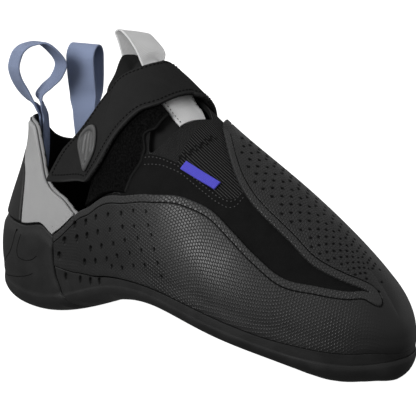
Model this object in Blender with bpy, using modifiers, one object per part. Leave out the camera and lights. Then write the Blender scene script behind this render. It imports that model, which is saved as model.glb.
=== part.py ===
"""Climbing shoe: one right shoe, strongly downturned, closed by a single strap.

Frame: metres, +Z up, +X to the toe, -Y the outer (lateral) side, +Y the inner (medial) side.
The origin is the middle of the heel's flat spot on the floor.

Every piece is taken from one form, the last. A place on it has a station (the number of a
section, 0 at the heel, 13 at the toe), a side, and a share: -1 at the middle of the bottom, 0 at
the foot edge, 1 at the crest of the instep or the top of the ankle.
"""
from collections import namedtuple

import bmesh
import bpy
import numpy as np

# Driving sizes
LENGTH = 0.236
BALL_WIDTH = 0.086
INSTEP_HEIGHT = 0.129
HEEL_HEIGHT = 0.095
HEEL_REST_FROM_REAR = 0.0225

# Walls, all in metres
UPPER_WALL = 0.002
GAP = 0.0004
RUBBER = 0.0016
WRAP_GAP = 0.0007
PANEL = 0.0011
PANEL_GAP = 0.0007
LOOP_PANEL = 0.0017
STRAP = 0.0022
TONGUE = 0.0022
TONGUE_LIFT = -0.0043
TONGUE_RISE = 0.003
WEBBING = 0.0011
INSOLE = 0.0022
INSOLE_LIFT = -0.0036
BADGE = 0.0011
TAG = 0.0006
FLOOR = 0.0
WELD = 2e-6
PROBE = 1e-3

LATERAL, MEDIAL = -1, 1

# Sections from heel to toe. Shares of the length: along, crest_along, spine_along. Shares of the
# ball width: lateral, medial, crest_middle, crest_half, bulge. Shares of the instep height: foot,
# instep, sole. Share of the heel height: heel. A crown of 1 rounds the wall over into the crest.
# The turn places the bottom's handle between foot edge and middle; the waist draws the ankle in.
Section = namedtuple("Section", "along lateral medial foot spine_along crest_along crest_middle "
                                "crest_half heel instep bulge crown sole turn waist",
                     defaults=(0.0388, 0.25, 0.0))
SECTIONS = [
    Section(0.025, 0.000, 0.000, 0.122, 0.064, 0.062, 0.000, 0.000, 1.00, 0.000, 0.093, 0.0,
            0.098, 0.48, 0.13),
    Section(0.051, 0.186, 0.186, 0.122, 0.076, 0.083, 0.000, 0.105, 1.00, 0.000, 0.093, 0.0,
            0.098, 0.48, 0.10),
    Section(0.119, 0.291, 0.291, 0.105, 0.123, 0.131, 0.000, 0.174, 1.00, 0.020, 0.081, 0.0,
            0.078, 0.45, 0.03),
    Section(0.212, 0.314, 0.302, 0.101, 0.212, 0.212, -0.006, 0.215, 0.60, 0.350, 0.070, 0.0,
            0.055, 0.45),
    Section(0.318, 0.337, 0.291, 0.154, 0.318, 0.288, 0.000, 0.186, 0.20, 0.730, 0.070, 0.2),
    Section(0.415, 0.395, 0.291, 0.218, 0.415, 0.360, 0.000, 0.000, 0.00, 1.000, 0.070, 0.7),
    Section(0.500, 0.442, 0.326, 0.254, 0.500, 0.453, 0.017, 0.000, 0.00, 0.938, 0.058, 1.0),
    Section(0.585, 0.459, 0.395, 0.256, 0.585, 0.555, 0.035, 0.000, 0.00, 0.814, 0.047, 1.0),
    Section(0.669, 0.430, 0.477, 0.217, 0.669, 0.644, 0.070, 0.000, 0.00, 0.709, 0.035, 1.0),
    Section(0.746, 0.360, 0.535, 0.171, 0.746, 0.729, 0.105, 0.000, 0.00, 0.612, 0.035, 1.0),
    Section(0.831, 0.221, 0.558, 0.116, 0.831, 0.814, 0.151, 0.000, 0.00, 0.496, 0.035, 1.0),
    Section(0.898, 0.081, 0.514, 0.085, 0.892, 0.877, 0.186, 0.000, 0.00, 0.399, 0.050, 1.0, 0.056, 0.20),
    Section(0.948, -0.070, 0.388, 0.080, 0.934, 0.928, 0.209, 0.000, 0.00, 0.314, 0.062, 1.0, 0.049),
    Section(0.974, -0.215, 0.215, 0.088, 0.950, 0.966, 0.215, 0.000, 0.00, 0.225, 0.050, 1.0, 0.057),
]
TOE = len(SECTIONS) - 1
LOOP = 2 * TOE
CREST_CLOSED = 5

# Handles of the wall's curve, as shares of its rise or of its width
LOW_HANDLE = 0.42
CROWN_HANDLE = {LATERAL: 0.62, MEDIAL: 0.45}
UPRIGHT_HANDLE = 0.35
EDGE_SHARE = 0.64

# Edges on the form, as (station, share)
THROAT = 7.0
RIM = {
    LATERAL: [(0, 0.955), (1, 0.965), (1.98, 0.925), (2.52, 0.775), (2.96, 0.60), (3.6, 0.465),
              (4.2, 0.325), (4.44, 0.335), (4.62, 0.42), (4.8, 0.515), (5.1, 0.635), (5.5, 0.735),
              (6.0, 0.76), (6.33, 0.56), (6.67, 0.73), (6.84, 0.88), (THROAT, 1.0)],
    MEDIAL: [(0, 0.955), (0.28, 0.915), (0.56, 0.865), (0.9, 0.82), (1.3, 0.79), (1.98, 0.765),
             (2.52, 0.695), (2.96, 0.60), (3.6, 0.49), (4.2, 0.40), (4.6, 0.42), (5.2, 0.52),
             (6.0, 0.72), (6.6, 0.86), (THROAT, 1.0)],
}
BAND_TOP = [(3.36, 0.135), (4.06, 0.075), (5.04, 0.032), (6.26, 0.027), (8.32, 0.045),
            (9.42, 0.05), (10.38, 0.075), (11.5, 0.10), (12.2, 0.13), (TOE, 0.135)]
WING_TOP = [(3.38, 0.28), (4.2, 0.325), (4.66, 0.306), (5.72, 0.329), (6.66, 0.414), (7.48, 0.51),
            (8.12, 0.54), (8.7, 0.515), (9.24, 0.475), (9.76, 0.445), (10.54, 0.52),
            (11.28, 0.61), (11.8, 0.715), (TOE, 0.75)]
PATCH_EDGE = [(7.25, 1.0), (7.9, 0.84), (8.42, 0.75), (8.88, 0.705), (9.68, 0.665),
              (10.28, 0.625), (11.02, 0.655), (11.8, 0.715)]
MEDIAL_TOP = [(3.38, 0.27), (4.2, 0.29), (5.0, 0.33), (5.8, 0.41), (6.3, 0.53), (6.8, 0.76),
              (7.25, 1.0)]
CUP_TOP = [(0, 0.325), (2.28, 0.325), (2.9, 0.345), (3.38, 0.27)]
WING_REAR = 3.38
SLOT_END = 11.8
PANEL_TIP = 4.0
TIP_SLOT_SHARE = 0.75
PATCH_REAR = 7.25

# Edges across the form, as (share, station)
HEEL_JOIN = [(-1, 4.0), (-0.5, 3.85), (0, 3.56), (0.095, 3.42), (0.2, 3.38), (0.4, 3.38)]
STRIP_EDGE = [(0.335, 2.22), (0.5, 2.12), (0.62, 1.95), (0.70, 1.6), (0.76, 1.2)]
PANEL_REAR = {
    LATERAL: [(0.335, 2.28), (0.5, 2.19), (0.62, 2.04), (0.70, 1.71), (0.76, 1.36), (0.79, 0.95),
              (0.82, 0.5), (0.85, 0.06), (0.92, 0.06)],
    MEDIAL: [(0.335, 2.28), (0.5, 2.19), (0.62, 2.04), (0.70, 1.71), (0.755, 1.4)],
}
FLAP_REAR = [(0.30, 4.42), (0.345, 4.52), (0.405, 4.62), (0.5, 4.8), (0.62, 5.1), (0.72, 5.45),
             (0.78, 5.75)]
FLAP_FRONT = [(0.30, 5.95), (0.365, 6.06), (0.455, 6.24), (0.505, 6.24), (0.57, 6.12),
              (0.645, 6.32), (0.71, 6.37), (0.78, 6.43)]

# The strap from its sewn end on the inner side, over the crest, to its free end. A hoop place is
# share - 1 on the outer side and 1 - share on the inner side.
StrapRow = namedtuple("StrapRow", "rear rear_hoop front front_hoop lift")
STRAP_ROWS = [
    StrapRow(5.64, 0.42, 6.24, 0.40, 0.0005),
    StrapRow(5.68, 0.25, 6.44, 0.23, 0.0012),
    StrapRow(5.70, 0.08, 6.52, 0.06, 0.0014),
    StrapRow(5.68, -0.025, 6.46, -0.03, 0.0016),
    StrapRow(5.48, -0.145, 6.24, -0.215, 0.0024),
    StrapRow(5.14, -0.21, 5.90, -0.335, 0.0030),
    StrapRow(4.76, -0.245, 5.66, -0.415, 0.0030),
    StrapRow(4.28, -0.265, 5.20, -0.535, 0.0030),
    StrapRow(3.76, -0.28, 5.02, -0.57, 0.0032),
    StrapRow(3.20, -0.405, 4.60, -0.60, 0.0034),
]

# Webbing pull loops at the collar. A place is a station, below 0 on the outer side. The route is
# (across, up) in metres from the top of the sewn legs: across along lean, up along rise. The
# webbing's width turns to twist above the collar. The seat is the near leg's depth behind the
# collar's inner face.
HeelLoop = namedtuple("HeelLoop", "name place seat lean rise twist route")
HEEL_LOOP_HALF = 0.0075
HEEL_LOOPS = [
    HeelLoop("heel_loop_back", -0.46, 0.0021,
             (0.71, 0.71, 0), (0.2, -0.2, 0.96), (0.92, -0.36, 0.12),
             [(-0.0027, 0.0041), (-0.0060, 0.0080), (-0.0094, 0.0136), (-0.0125, 0.0205),
              (-0.0133, 0.0265), (-0.0114, 0.0332), (-0.0070, 0.0376), (-0.0009, 0.0391),
              (0.0056, 0.0345), (0.0092, 0.0274), (0.0070, 0.0210), (0.0018, 0.0153),
              (-0.0018, 0.0106), (-0.0004, 0.0052)]),
    HeelLoop("heel_loop_inner", 2.17, 0.0010,
             (0.33, -0.94, 0), (0.0, 0.05, 1.0), (0.94, 0.33, 0),
             [(-0.0022, 0.003), (-0.0056, 0.010), (-0.0056, 0.019), (-0.0050, 0.027),
              (-0.0028, 0.0315), (0.0005, 0.0325), (0.0040, 0.0305), (0.0053, 0.0265),
              (0.0042, 0.020), (0.0028, 0.014), (0.0010, 0.007)]),
]
LEG_SHARES = np.array([0.62, 0.74, 0.85, 0.95])
BETWEEN_LEGS = 0.0016

# The tongue's loop: half width and its direction, the sewn leg, and the loop's route as (x, z)
TONGUE_LOOP_HALF = 0.0078
TONGUE_LOOP_SIDE = (0.36, 0.90, -0.22)
TONGUE_LOOP_SEAT = 0.0011
TONGUE_LOOP_HOOPS = np.array([-0.12, 0.0, 0.12])
TONGUE_LOOP_STATIONS = np.array([5.75, 5.5])
TONGUE_LOOP_ROUTE = [(0.0715, 0.1318), (0.0661, 0.1369), (0.0605, 0.1397), (0.0580, 0.1381),
                     (0.0598, 0.1345), (0.0608, 0.1318), (0.0612, 0.1300)]

# The tongue: its front end, its start on the form as (hoop, station), the hoop places and stations
# over which it rises to the form, and its free end's offset as (hoop, x, y, z)
TONGUE_END = 8.0
TONGUE_CREST = (0.26, 0.10)
TONGUE_OPEN = (6.55, 6.10)
TONGUE_START = [(0.0, 5.28), (0.1, 5.0), (0.5, 5.0)]
TONGUE_FREE = [(-0.5, -0.004, 0.0, 0.0), (-0.4, -0.009, -0.001, 0.0025),
               (-0.3, -0.013, -0.0023, 0.0049), (-0.2, -0.0085, -0.0028, 0.0062),
               (-0.12, -0.0046, -0.0032, 0.0068), (-0.06, -0.002, -0.0015, 0.004),
               (0.0, 0.0, 0.0, 0.0005), (0.06, -0.001, 0.0015, 0.002),
               (0.12, -0.0025, 0.0025, 0.0035), (0.2, -0.005, 0.002, 0.004),
               (0.3, -0.006, 0.001, 0.003), (0.5, -0.003, 0.0, 0.0)]

# The tongue's tape, by station; it is cut back towards its sides
TAPE_START, TAPE_END = 5.95, 6.9
TAPE_SEAT = 0.0006
TAPE_TRIM = {LATERAL: 1.1, MEDIAL: 2.7}

# Pad on the strap, as (strap row, share across), and tag on the form, as (station, share)
BADGE_MIDDLE, BADGE_LONG, BADGE_WIDE = (7.86, 0.585), (0.80, 0.27), (-0.20, 0.28)
BADGE_TAPER = 0.6
TAG_CORNER, TAG_RUN, TAG_RISE = (7.12, 0.605), (0.84, 0.035), (0.05, 0.055)


def follow(table, at):
    """Smooth curve through (x, y) rows that never swings past a row: cubic pieces whose slopes
    are the harmonic mean of the two neighbouring runs, and zero at a turn."""
    x, y = np.array(table, float).T
    at = np.clip(at, x[0], x[-1])
    run = np.diff(y) / np.diff(x)
    slope = np.zeros_like(y)
    same = run[:-1] * run[1:] > 0
    slope[1:-1][same] = 2 * run[:-1][same] * run[1:][same] / (run[:-1] + run[1:])[same]
    slope[0], slope[-1] = run[0], run[-1]
    i = np.clip(np.searchsorted(x, at, side="right") - 1, 0, len(x) - 2)
    width = x[i + 1] - x[i]
    t = (at - x[i]) / width
    return (y[i] * (1 + 2 * t) * (1 - t) ** 2 + y[i + 1] * t * t * (3 - 2 * t)
            + width * (slope[i] * t * (1 - t) ** 2 - slope[i + 1] * t * t * (1 - t)))


def ring_curvature(values):
    """Second derivatives of the closed cubic spline through values, one unit apart."""
    count = len(values)
    matrix = 4 * np.eye(count) + np.roll(np.eye(count), 1, 1) + np.roll(np.eye(count), -1, 1)
    bend = 6 * (np.roll(values, -1, 0) - 2 * values + np.roll(values, 1, 0))
    return np.linalg.solve(matrix, bend)


def section_ring():
    """Foot, crest and spine points, bulge and crown of each section, round the shoe in one loop:
    heel to toe on the outer side, then toe to heel on the inner side."""
    rows = []
    order = [(row, LATERAL) for row in SECTIONS] + [(row, MEDIAL) for row in SECTIONS[-2:0:-1]]
    for row, sign in order:
        half = row.lateral if sign == LATERAL else row.medial
        foot_height = row.foot * INSTEP_HEIGHT
        crest_height = row.heel * HEEL_HEIGHT + row.instep * INSTEP_HEIGHT
        middle = (row.medial - row.lateral) / 2 * BALL_WIDTH
        rows.append([
            row.along * LENGTH - HEEL_REST_FROM_REAR, sign * half * BALL_WIDTH, foot_height,
            row.crest_along * LENGTH - HEEL_REST_FROM_REAR,
            (row.crest_middle + sign * row.crest_half) * BALL_WIDTH, crest_height,
            row.spine_along * LENGTH - HEEL_REST_FROM_REAR, middle,
            foot_height - row.sole * INSTEP_HEIGHT, row.bulge * BALL_WIDTH, row.crown,
            row.sole * INSTEP_HEIGHT, row.turn, row.waist * BALL_WIDTH])
    return np.array(rows)


RING = section_ring()
RING_BEND = ring_curvature(RING)


def ring_at(loop):
    """The section ring's values at any loop coordinate, by its closed spline."""
    loop = np.mod(loop, LOOP)
    i = np.floor(loop).astype(int) % LOOP
    j = (i + 1) % LOOP
    b = (loop - np.floor(loop))[..., None]
    a = 1 - b
    return ((RING_BEND[i] * a ** 3 + RING_BEND[j] * b ** 3) / 6
            + (RING[i] - RING_BEND[i] / 6) * a + (RING[j] - RING_BEND[j] / 6) * b)


def bezier(start, first, second, end, t):
    """Cubic Bezier from start to end with two handles."""
    s = 1 - t
    return start * s ** 3 + 3 * first * s * s * t + 3 * second * s * t * t + end * t ** 3


def form(loop, share):
    """A point of the last. Above the foot edge the wall bulges out and rounds over the crest;
    below it the bottom turns in to the middle line."""
    values, other = ring_at(loop), ring_at(LOOP - loop)
    foot, crest, spine = values[..., 0:3], values[..., 3:6], values[..., 6:9]
    station = np.where(loop <= TOE, loop, LOOP - loop)
    closed = (np.mod(station, LOOP) >= CREST_CLOSED)[..., None]
    crest = np.where(closed, (crest + other[..., 3:6]) / 2, crest)
    spine = (spine + other[..., 6:9]) / 2
    along = ring_at(loop + PROBE)[..., 0:2] - ring_at(loop - PROBE)[..., 0:2]
    along = along / np.linalg.norm(along, axis=-1, keepdims=True)
    out = np.stack([along[..., 1], -along[..., 0], 0 * along[..., 0]], -1)
    bulge, crown = values[..., 9:10], np.clip(values[..., 10:11], 0, 1)
    depth, turn, waist = values[..., 11:12], values[..., 12:13], values[..., 13:14]
    handle = np.where(station == loop, CROWN_HANDLE[LATERAL], CROWN_HANDLE[MEDIAL])[..., None]
    up = np.array([0.0, 0.0, 1.0])
    flat = np.array([1.0, 1.0, 0.0])
    rise = (crest - foot)[..., 2:3]
    low = foot + up * LOW_HANDLE * rise + out * bulge
    over = crest + (foot - crest) * flat * handle
    upright = crest + (out * bulge - up * rise) * UPRIGHT_HANDLE - out * waist
    wall = bezier(foot, low, over * crown + upright * (1 - crown), crest,
                  np.clip(share, 0, 1)[..., None])
    inner = (foot + (spine - foot) * turn) * flat + spine * up
    bottom = bezier(foot, foot - up * EDGE_SHARE * depth, inner, spine,
                    np.clip(-share, 0, 1)[..., None])
    return np.where((share >= 0)[..., None], wall, bottom)


def outward(loop, share):
    """Unit normal of the form, from its slopes round the shoe and up the section."""
    share = np.clip(share, -0.97, 0.985)
    round_shoe = form(loop + PROBE, share) - form(loop - PROBE, share)
    up_section = form(loop, share + PROBE) - form(loop, share - PROBE)
    normal = np.cross(round_shoe, up_section)
    return normal / np.linalg.norm(normal, axis=-1, keepdims=True)


def skin(station, side, share, lift=0.0):
    """A point of the form, lifted along its normal. On the crest and on the bottom's middle line
    both sides share one normal, so that their edges meet."""
    station, side, share, lift = np.broadcast_arrays(
        np.asarray(station, float), side, np.asarray(share, float), lift)
    loop = np.where(side < 0, station, LOOP - station)
    normal = outward(loop, share)
    meets = (np.abs(share) > 0.999) & ((share < 0) | (station >= CREST_CLOSED))
    both = normal + outward(LOOP - loop, share)
    both = both / np.linalg.norm(both, axis=-1, keepdims=True)
    normal = np.where(meets[..., None], both, normal)
    return form(loop, share) + normal * lift[..., None]


def hoop_skin(station, hoop, lift):
    """The same, by hoop place: outer side below 0, crest at 0, inner side above."""
    return skin(station, np.where(hoop <= 0, LATERAL, MEDIAL), 1 - np.abs(hoop), lift)


def finish(name, colour, roughness, mesh_work, thickness=None, outwards=True):
    """Weld the work mesh, put it in the shoe's collection with its material, and give an open
    sheet its thickness."""
    bmesh.ops.remove_doubles(mesh_work, verts=mesh_work.verts, dist=WELD)
    bmesh.ops.dissolve_degenerate(mesh_work, edges=mesh_work.edges, dist=WELD)
    if thickness is None:
        bmesh.ops.recalc_face_normals(mesh_work, faces=mesh_work.faces)
    mesh = bpy.data.meshes.new(name)
    mesh_work.to_mesh(mesh)
    mesh_work.free()
    mesh.shade_smooth()
    piece = bpy.data.objects.new(name, mesh)
    SHOE.objects.link(piece)
    material = bpy.data.materials.new(name)
    material.use_nodes = True
    shader = material.node_tree.nodes["Principled BSDF"]
    shader.inputs["Base Color"].default_value = (*colour, 1.0)
    shader.inputs["Roughness"].default_value = roughness
    shader.inputs["Metallic"].default_value = 0.0
    mesh.materials.append(material)
    if thickness is not None:
        wall = piece.modifiers.new("wall", "SOLIDIFY")
        wall.thickness = thickness
        wall.offset = 1.0 if outwards else -1.0
        wall.use_quality_normals = True
    return piece


def add_grid(mesh_work, points, turn=False):
    """Quads over a grid of points; turn reverses them."""
    rows, columns = points.shape[:2]
    verts = [[mesh_work.verts.new(p) for p in row] for row in points]
    for i in range(rows - 1):
        for j in range(columns - 1):
            quad = [verts[i][j], verts[i + 1][j], verts[i + 1][j + 1], verts[i][j + 1]]
            mesh_work.faces.new(quad[::-1] if turn else quad)


def sheet(name, grids, colour, roughness, thickness, outwards=True):
    """An open sheet of one or more grids, thickened. A grid is (points, turn)."""
    mesh_work = bmesh.new()
    for points, turn in grids:
        add_grid(mesh_work, points, turn)
    return finish(name, colour, roughness, mesh_work, thickness, outwards)


def loft(name, inner, outer, colour, roughness, open_start, open_end):
    """A closed solid between two grids of the same size, walled along their long edges and at
    each end that stays open."""
    mesh_work = bmesh.new()
    add_grid(mesh_work, outer)
    add_grid(mesh_work, inner, turn=True)
    for edge in (0, -1):
        add_grid(mesh_work, np.stack([inner[:, edge], outer[:, edge]], 1))
    for edge, is_open in ((0, open_start), (-1, open_end)):
        if is_open:
            add_grid(mesh_work, np.stack([inner[edge], outer[edge]], 1))
    return finish(name, colour, roughness, mesh_work)


def across(shares_outer, shares_inner):
    """Sides and shares of rows that run from the outer side, under or over, to the inner side.
    Both lists start at the shared middle line, which is kept once."""
    sides = np.array([LATERAL] * len(shares_outer) + [MEDIAL] * (len(shares_inner) - 1))
    return sides, np.concatenate([shares_outer[::-1], shares_inner[1:]])


def with_rear(stations, shares, clearance):
    """Stations whose rear end follows the join with the heel cup, fading out over one section."""
    start = stations[0]
    fade = np.clip(1 - (stations - start) / 1.5, 0, 1)[:, None]
    return stations[:, None] + fade * (follow(HEEL_JOIN, shares) + clearance - start)


# Stations shared by the pieces that meet at the toe
REAR_STATIONS = np.array([3.4, 3.7, 4.0, 4.35, 4.67, 5.0, 5.33, 5.67, 6.0, 6.33, 6.6, 6.85, 7.05])
FRONT_STATIONS = np.concatenate([[PATCH_REAR, 7.5], np.arange(8, 11.5, 1 / 3),
                                 [SLOT_END], np.linspace(12, TOE, 4)])
ALONG_SOLE = np.concatenate([REAR_STATIONS, FRONT_STATIONS])
JOIN_CLEARANCE = 0.01
EDGE_CLEARANCE = 0.005
PANEL_EDGE = 0.01
STRIP_ROWS = np.linspace(STRIP_EDGE[0][0], STRIP_EDGE[-1][0], 7)

BLACK_SUEDE = (0.012, 0.012, 0.013)
DARK_RUBBER = (0.022, 0.023, 0.025)
GREY_PANEL = (0.18, 0.19, 0.20)
BLUE_WEBBING = (0.20, 0.27, 0.40)
PALE_TAPE = (0.42, 0.43, 0.44)
PURPLE_TAG = (0.10, 0.09, 0.32)
INSOLE_GREY = (0.05, 0.05, 0.05)


def make_upper():
    """One hollow wall from the lasting margin under the foot to the rim of collar and throat,
    closed over the crest in front of the throat."""
    stations = np.concatenate([np.arange(0, 3, 1 / 3), np.arange(3, 6, 0.5),
                               np.arange(6, 7, 1 / 3), np.arange(7, 10, 0.5),
                               np.linspace(10, TOE, 10)])
    margin = np.array([-0.6, -0.38, -0.17])
    steps = np.array([0, 0.17, 0.35, 0.52, 0.67, 0.80, 0.91, 1.0])
    grids = []
    for side in (LATERAL, MEDIAL):
        rim = follow(RIM[side], stations)[:, None]
        shares = np.concatenate([np.repeat(margin[None], len(stations), 0), rim * steps], 1)
        grids.append((skin(stations[:, None], side, shares), side == MEDIAL))
    sheet("upper", grids, BLACK_SUEDE, 0.85, UPPER_WALL, outwards=False)


def sole_depth(shares):
    """Rubber thickness from the middle of the bottom to the top of the side band."""
    return np.interp(shares, [-1, -0.45, -0.15, 0, 0.06, 0.36],
                     [0.0046, 0.0046, 0.0039, 0.0029, 0.0024, 0.0018])


def sole_skins(stations, sides, shares):
    """Inner and outer faces of a rubber sole; the outer one is flat where it meets the floor."""
    inner = skin(stations, sides, shares, GAP)
    outer = skin(stations, sides, shares, GAP + sole_depth(shares))
    outer[..., 2] = np.maximum(outer[..., 2], FLOOR)
    return inner, outer


def make_outsole():
    """Arch and forefoot sole with its side band, from the heel cup to the toe."""
    under = np.array([-1, -0.8, -0.55, -0.32, -0.14, 0])
    sides, rows = across(under, under)
    band = follow(BAND_TOP, ALONG_SOLE)[:, None]
    rows = np.repeat(rows[None], len(ALONG_SOLE), 0)
    shares = np.concatenate([band, band * 0.5, rows, band * 0.5, band], 1)
    sides = np.concatenate([[LATERAL] * 2, sides, [MEDIAL] * 2])
    stations = with_rear(ALONG_SOLE, shares, JOIN_CLEARANCE)
    inner, outer = sole_skins(stations, sides, shares)
    loft("outsole", inner, outer, DARK_RUBBER, 0.6, open_start=True, open_end=False)


def make_heel_cup():
    """Rubber heel: bottom with the rear flat spot, and sides up to the cup's edge."""
    steps = np.linspace(0, 1, 11)[:, None]
    under = np.array([-1, -0.8, -0.55, -0.32, -0.14, 0])
    sides, rows = across(under, under)
    climb = np.array([0.2, 0.45, 0.72, 1.0])
    top = follow(CUP_TOP, steps * WING_REAR)
    rows = np.repeat(rows[None], len(steps), 0)
    shares = np.concatenate([top * climb[::-1], rows, top * climb], 1)
    sides = np.concatenate([[LATERAL] * 4, sides, [MEDIAL] * 4])
    stations = steps * (follow(HEEL_JOIN, shares) - JOIN_CLEARANCE)
    inner, outer = sole_skins(stations, sides, shares)
    loft("heel_cup", inner, outer, DARK_RUBBER, 0.6, open_start=False, open_end=True)


def make_rubber_wrap():
    """One rubber sheet: the outer wing, round the toe, the toe patch over the crest and the inner
    side. A slot between wing and patch shows the upper and ends near the toe."""
    wing_rows = np.linspace(0, 1, 6)
    patch_rows = np.linspace(0, 1, 5)
    wing_at = ALONG_SOLE[:, None]
    low = follow(BAND_TOP, wing_at) + EDGE_CLEARANCE
    wing = low + (follow(WING_TOP, wing_at) - low) * wing_rows
    patch_at = FRONT_STATIONS[:, None]
    edge = np.where(patch_at < SLOT_END, follow(PATCH_EDGE, patch_at), follow(WING_TOP, patch_at))
    patch = edge + (1 - edge) * patch_rows
    top = follow(MEDIAL_TOP, wing_at)
    knee = top * TIP_SLOT_SHARE
    inner = np.concatenate([low + (knee - low) * wing_rows,
                            (knee + (top - knee) * patch_rows)[:, 1:]], 1)
    grids = [(skin(with_rear(ALONG_SOLE, wing, JOIN_CLEARANCE), LATERAL, wing, WRAP_GAP), False),
             (skin(patch_at, LATERAL, patch, WRAP_GAP), False),
             (skin(with_rear(ALONG_SOLE, inner, JOIN_CLEARANCE), MEDIAL, inner, WRAP_GAP), True)]
    sheet("rubber_wrap", grids, DARK_RUBBER, 0.6, RUBBER)


def make_heel_strip():
    """Rubber strip up the back of the heel, from the cup to a point below the collar."""
    shares = STRIP_ROWS[:, None]
    places = np.linspace(-1, 1, 15) * follow(STRIP_EDGE, shares)
    points = skin(np.abs(places), np.where(places <= 0, LATERAL, MEDIAL), shares, GAP)
    sheet("heel_strip", [(points, False)], DARK_RUBBER, 0.6, RUBBER)


def panel_places(side, spine, run):
    """Stations and shares of a heel panel: its rear edge keeps the shares of the spine rows, and
    the rows spread evenly between cup or wing and rim to the front tip."""
    rear = follow(PANEL_REAR[side], spine)
    stations = rear + (PANEL_TIP - rear) * run
    floor = np.where(stations < WING_REAR, follow(CUP_TOP, stations), follow(WING_TOP, stations))
    floor = floor + PANEL_EDGE
    rim = follow(RIM[side], stations) - PANEL_EDGE
    even = (spine - spine[0]) / (spine[-1] - spine[0])
    at_rear = np.clip((spine - floor[:, :1]) / (rim - floor)[:, :1], 0, 1)
    at_rear[0], at_rear[-1] = 0, 1
    return stations, floor + (rim - floor) * (at_rear + (even - at_rear) * run)


def make_heel_panels():
    """Grey collar panel on each side of the heel, between strip, cup, wing and rim."""
    run = np.linspace(0, 1, 11)
    for side, name in ((LATERAL, "heel_panel_outer"), (MEDIAL, "heel_panel_inner")):
        spine = np.array([row[0] for row in PANEL_REAR[side]])
        spine = np.sort(np.concatenate([spine, (spine[:3] + spine[1:4]) / 2]))[:, None]
        stations, shares = panel_places(side, spine, run)
        points = skin(stations, side, shares, PANEL_GAP)
        sheet(name, [(points, side == LATERAL)], GREY_PANEL, 0.7, PANEL)


def make_loop_panel():
    """Fuzzy quarter on the outer side that the strap closes onto."""
    rise = np.linspace(0, 1, 9)[:, None]
    run = np.linspace(0, 1, 7)
    height = FLAP_REAR[0][0] + rise * (FLAP_REAR[-1][0] - FLAP_REAR[0][0])
    rear, front = follow(FLAP_REAR, height), follow(FLAP_FRONT, height)
    stations = rear + (front - rear) * run
    floor = follow(WING_TOP, stations) + 2 * EDGE_CLEARANCE
    shares = height + (1 - rise) * (floor - FLAP_REAR[0][0])
    sheet("loop_panel", [(skin(stations, LATERAL, shares, GAP), True)], BLACK_SUEDE, 0.95,
          LOOP_PANEL)


def strap_points(rows, columns, extra_lift):
    """Points of the strap's under face: smooth runs along the strap rows, straight across."""
    table = np.array(STRAP_ROWS)
    order = np.arange(len(table))
    at = [follow(list(zip(order, column)), rows)[:, None] for column in table.T]
    rear, rear_hoop, front, front_hoop, lift = at
    stations = rear + (front - rear) * columns
    hoops = rear_hoop + (front_hoop - rear_hoop) * columns
    return hoop_skin(stations, hoops, lift + extra_lift)


def make_strap():
    """Closing strap: sewn on the inner side, over the instep, down to a free end on the outer."""
    rows = np.linspace(0, len(STRAP_ROWS) - 1, 17)
    sheet("strap", [(strap_points(rows, np.linspace(0, 1, 6), 0.0), False)], BLACK_SUEDE, 0.8,
          STRAP)


def make_strap_badge():
    """Plain raised pad near the strap's free end."""
    turn = np.linspace(0, 2 * np.pi, 17)
    radius = np.linspace(0, 1, 3)[:, None]
    along = radius * np.cos(turn)
    wide = radius * np.sin(turn) * (1 - BADGE_TAPER * np.cos(turn)) / (1 + BADGE_TAPER / 2)
    rows = BADGE_MIDDLE[0] + BADGE_LONG[0] * along + BADGE_WIDE[0] * wide
    columns = BADGE_MIDDLE[1] + BADGE_LONG[1] * along + BADGE_WIDE[1] * wide
    points = [strap_points(r, c[:, None], STRAP + GAP)[:, 0] for r, c in zip(rows, columns)]
    sheet("strap_badge", [(np.stack(points), False)], GREY_PANEL, 0.5, BADGE)


def ease(start, end, at):
    """Soft step from 0 at start to 1 at end."""
    t = np.clip((at - start) / (end - start), 0, 1)
    return t * t * (3 - 2 * t)


def tongue_lift(station, hoop):
    """Height of the tongue's outer face: near the form along the open instep's crest, deeper
    under the edges of the collar and under the throat."""
    near_crest = ease(*TONGUE_CREST, np.abs(hoop))
    return TONGUE_LIFT + TONGUE_RISE * near_crest * ease(*TONGUE_OPEN, station)


def tongue_points(reach, hoop):
    """Points of the tongue's outer face. Reach 0 to 1 runs along the form to the front end; below
    0 the free end stands off the form by an offset for each hoop place."""
    start = follow(TONGUE_START, np.abs(hoop))
    station = start + (TONGUE_END - start) * np.clip(reach, 0, 1)
    table = np.array(TONGUE_FREE)
    offset = np.stack([follow(list(zip(table[:, 0], column)), hoop)
                       for column in table.T[1:]], -1)
    points = hoop_skin(station, hoop, tongue_lift(station, hoop))
    return points + np.clip(-reach, 0, 1)[..., None] * offset


def make_tongue():
    """Tongue under the strap and under the front of the throat, with a free end behind."""
    reach = np.concatenate([[-1, -0.5], np.linspace(0, 1, 17)])[:, None]
    hoops = np.array([row[0] for row in TONGUE_FREE])
    sheet("tongue", [(tongue_points(reach, hoops), False)], BLACK_SUEDE, 0.85, TONGUE,
          outwards=False)


def make_tongue_tape():
    """Pale tape along the tongue, ending at the edge of the throat."""
    run = np.linspace(0, 1, 8)[:, None]
    hoops = np.array([-0.2, -0.13, -0.06, 0, 0.06, 0.12])
    trim = np.where(hoops < 0, TAPE_TRIM[LATERAL], TAPE_TRIM[MEDIAL])
    end = TAPE_END - trim * np.abs(hoops)
    stations = TAPE_START + (end - TAPE_START) * run
    points = hoop_skin(stations, hoops, tongue_lift(stations, hoops) + TAPE_SEAT)
    sheet("tongue_tape", [(points, False)], PALE_TAPE, 0.8, WEBBING)


def ribbon(name, points, colour):
    """Flat webbing over a grid of points, its thickness to both sides of them."""
    piece = sheet(name, [(points, False)], colour, 0.8, WEBBING)
    piece.modifiers["wall"].offset = 0.0


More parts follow.
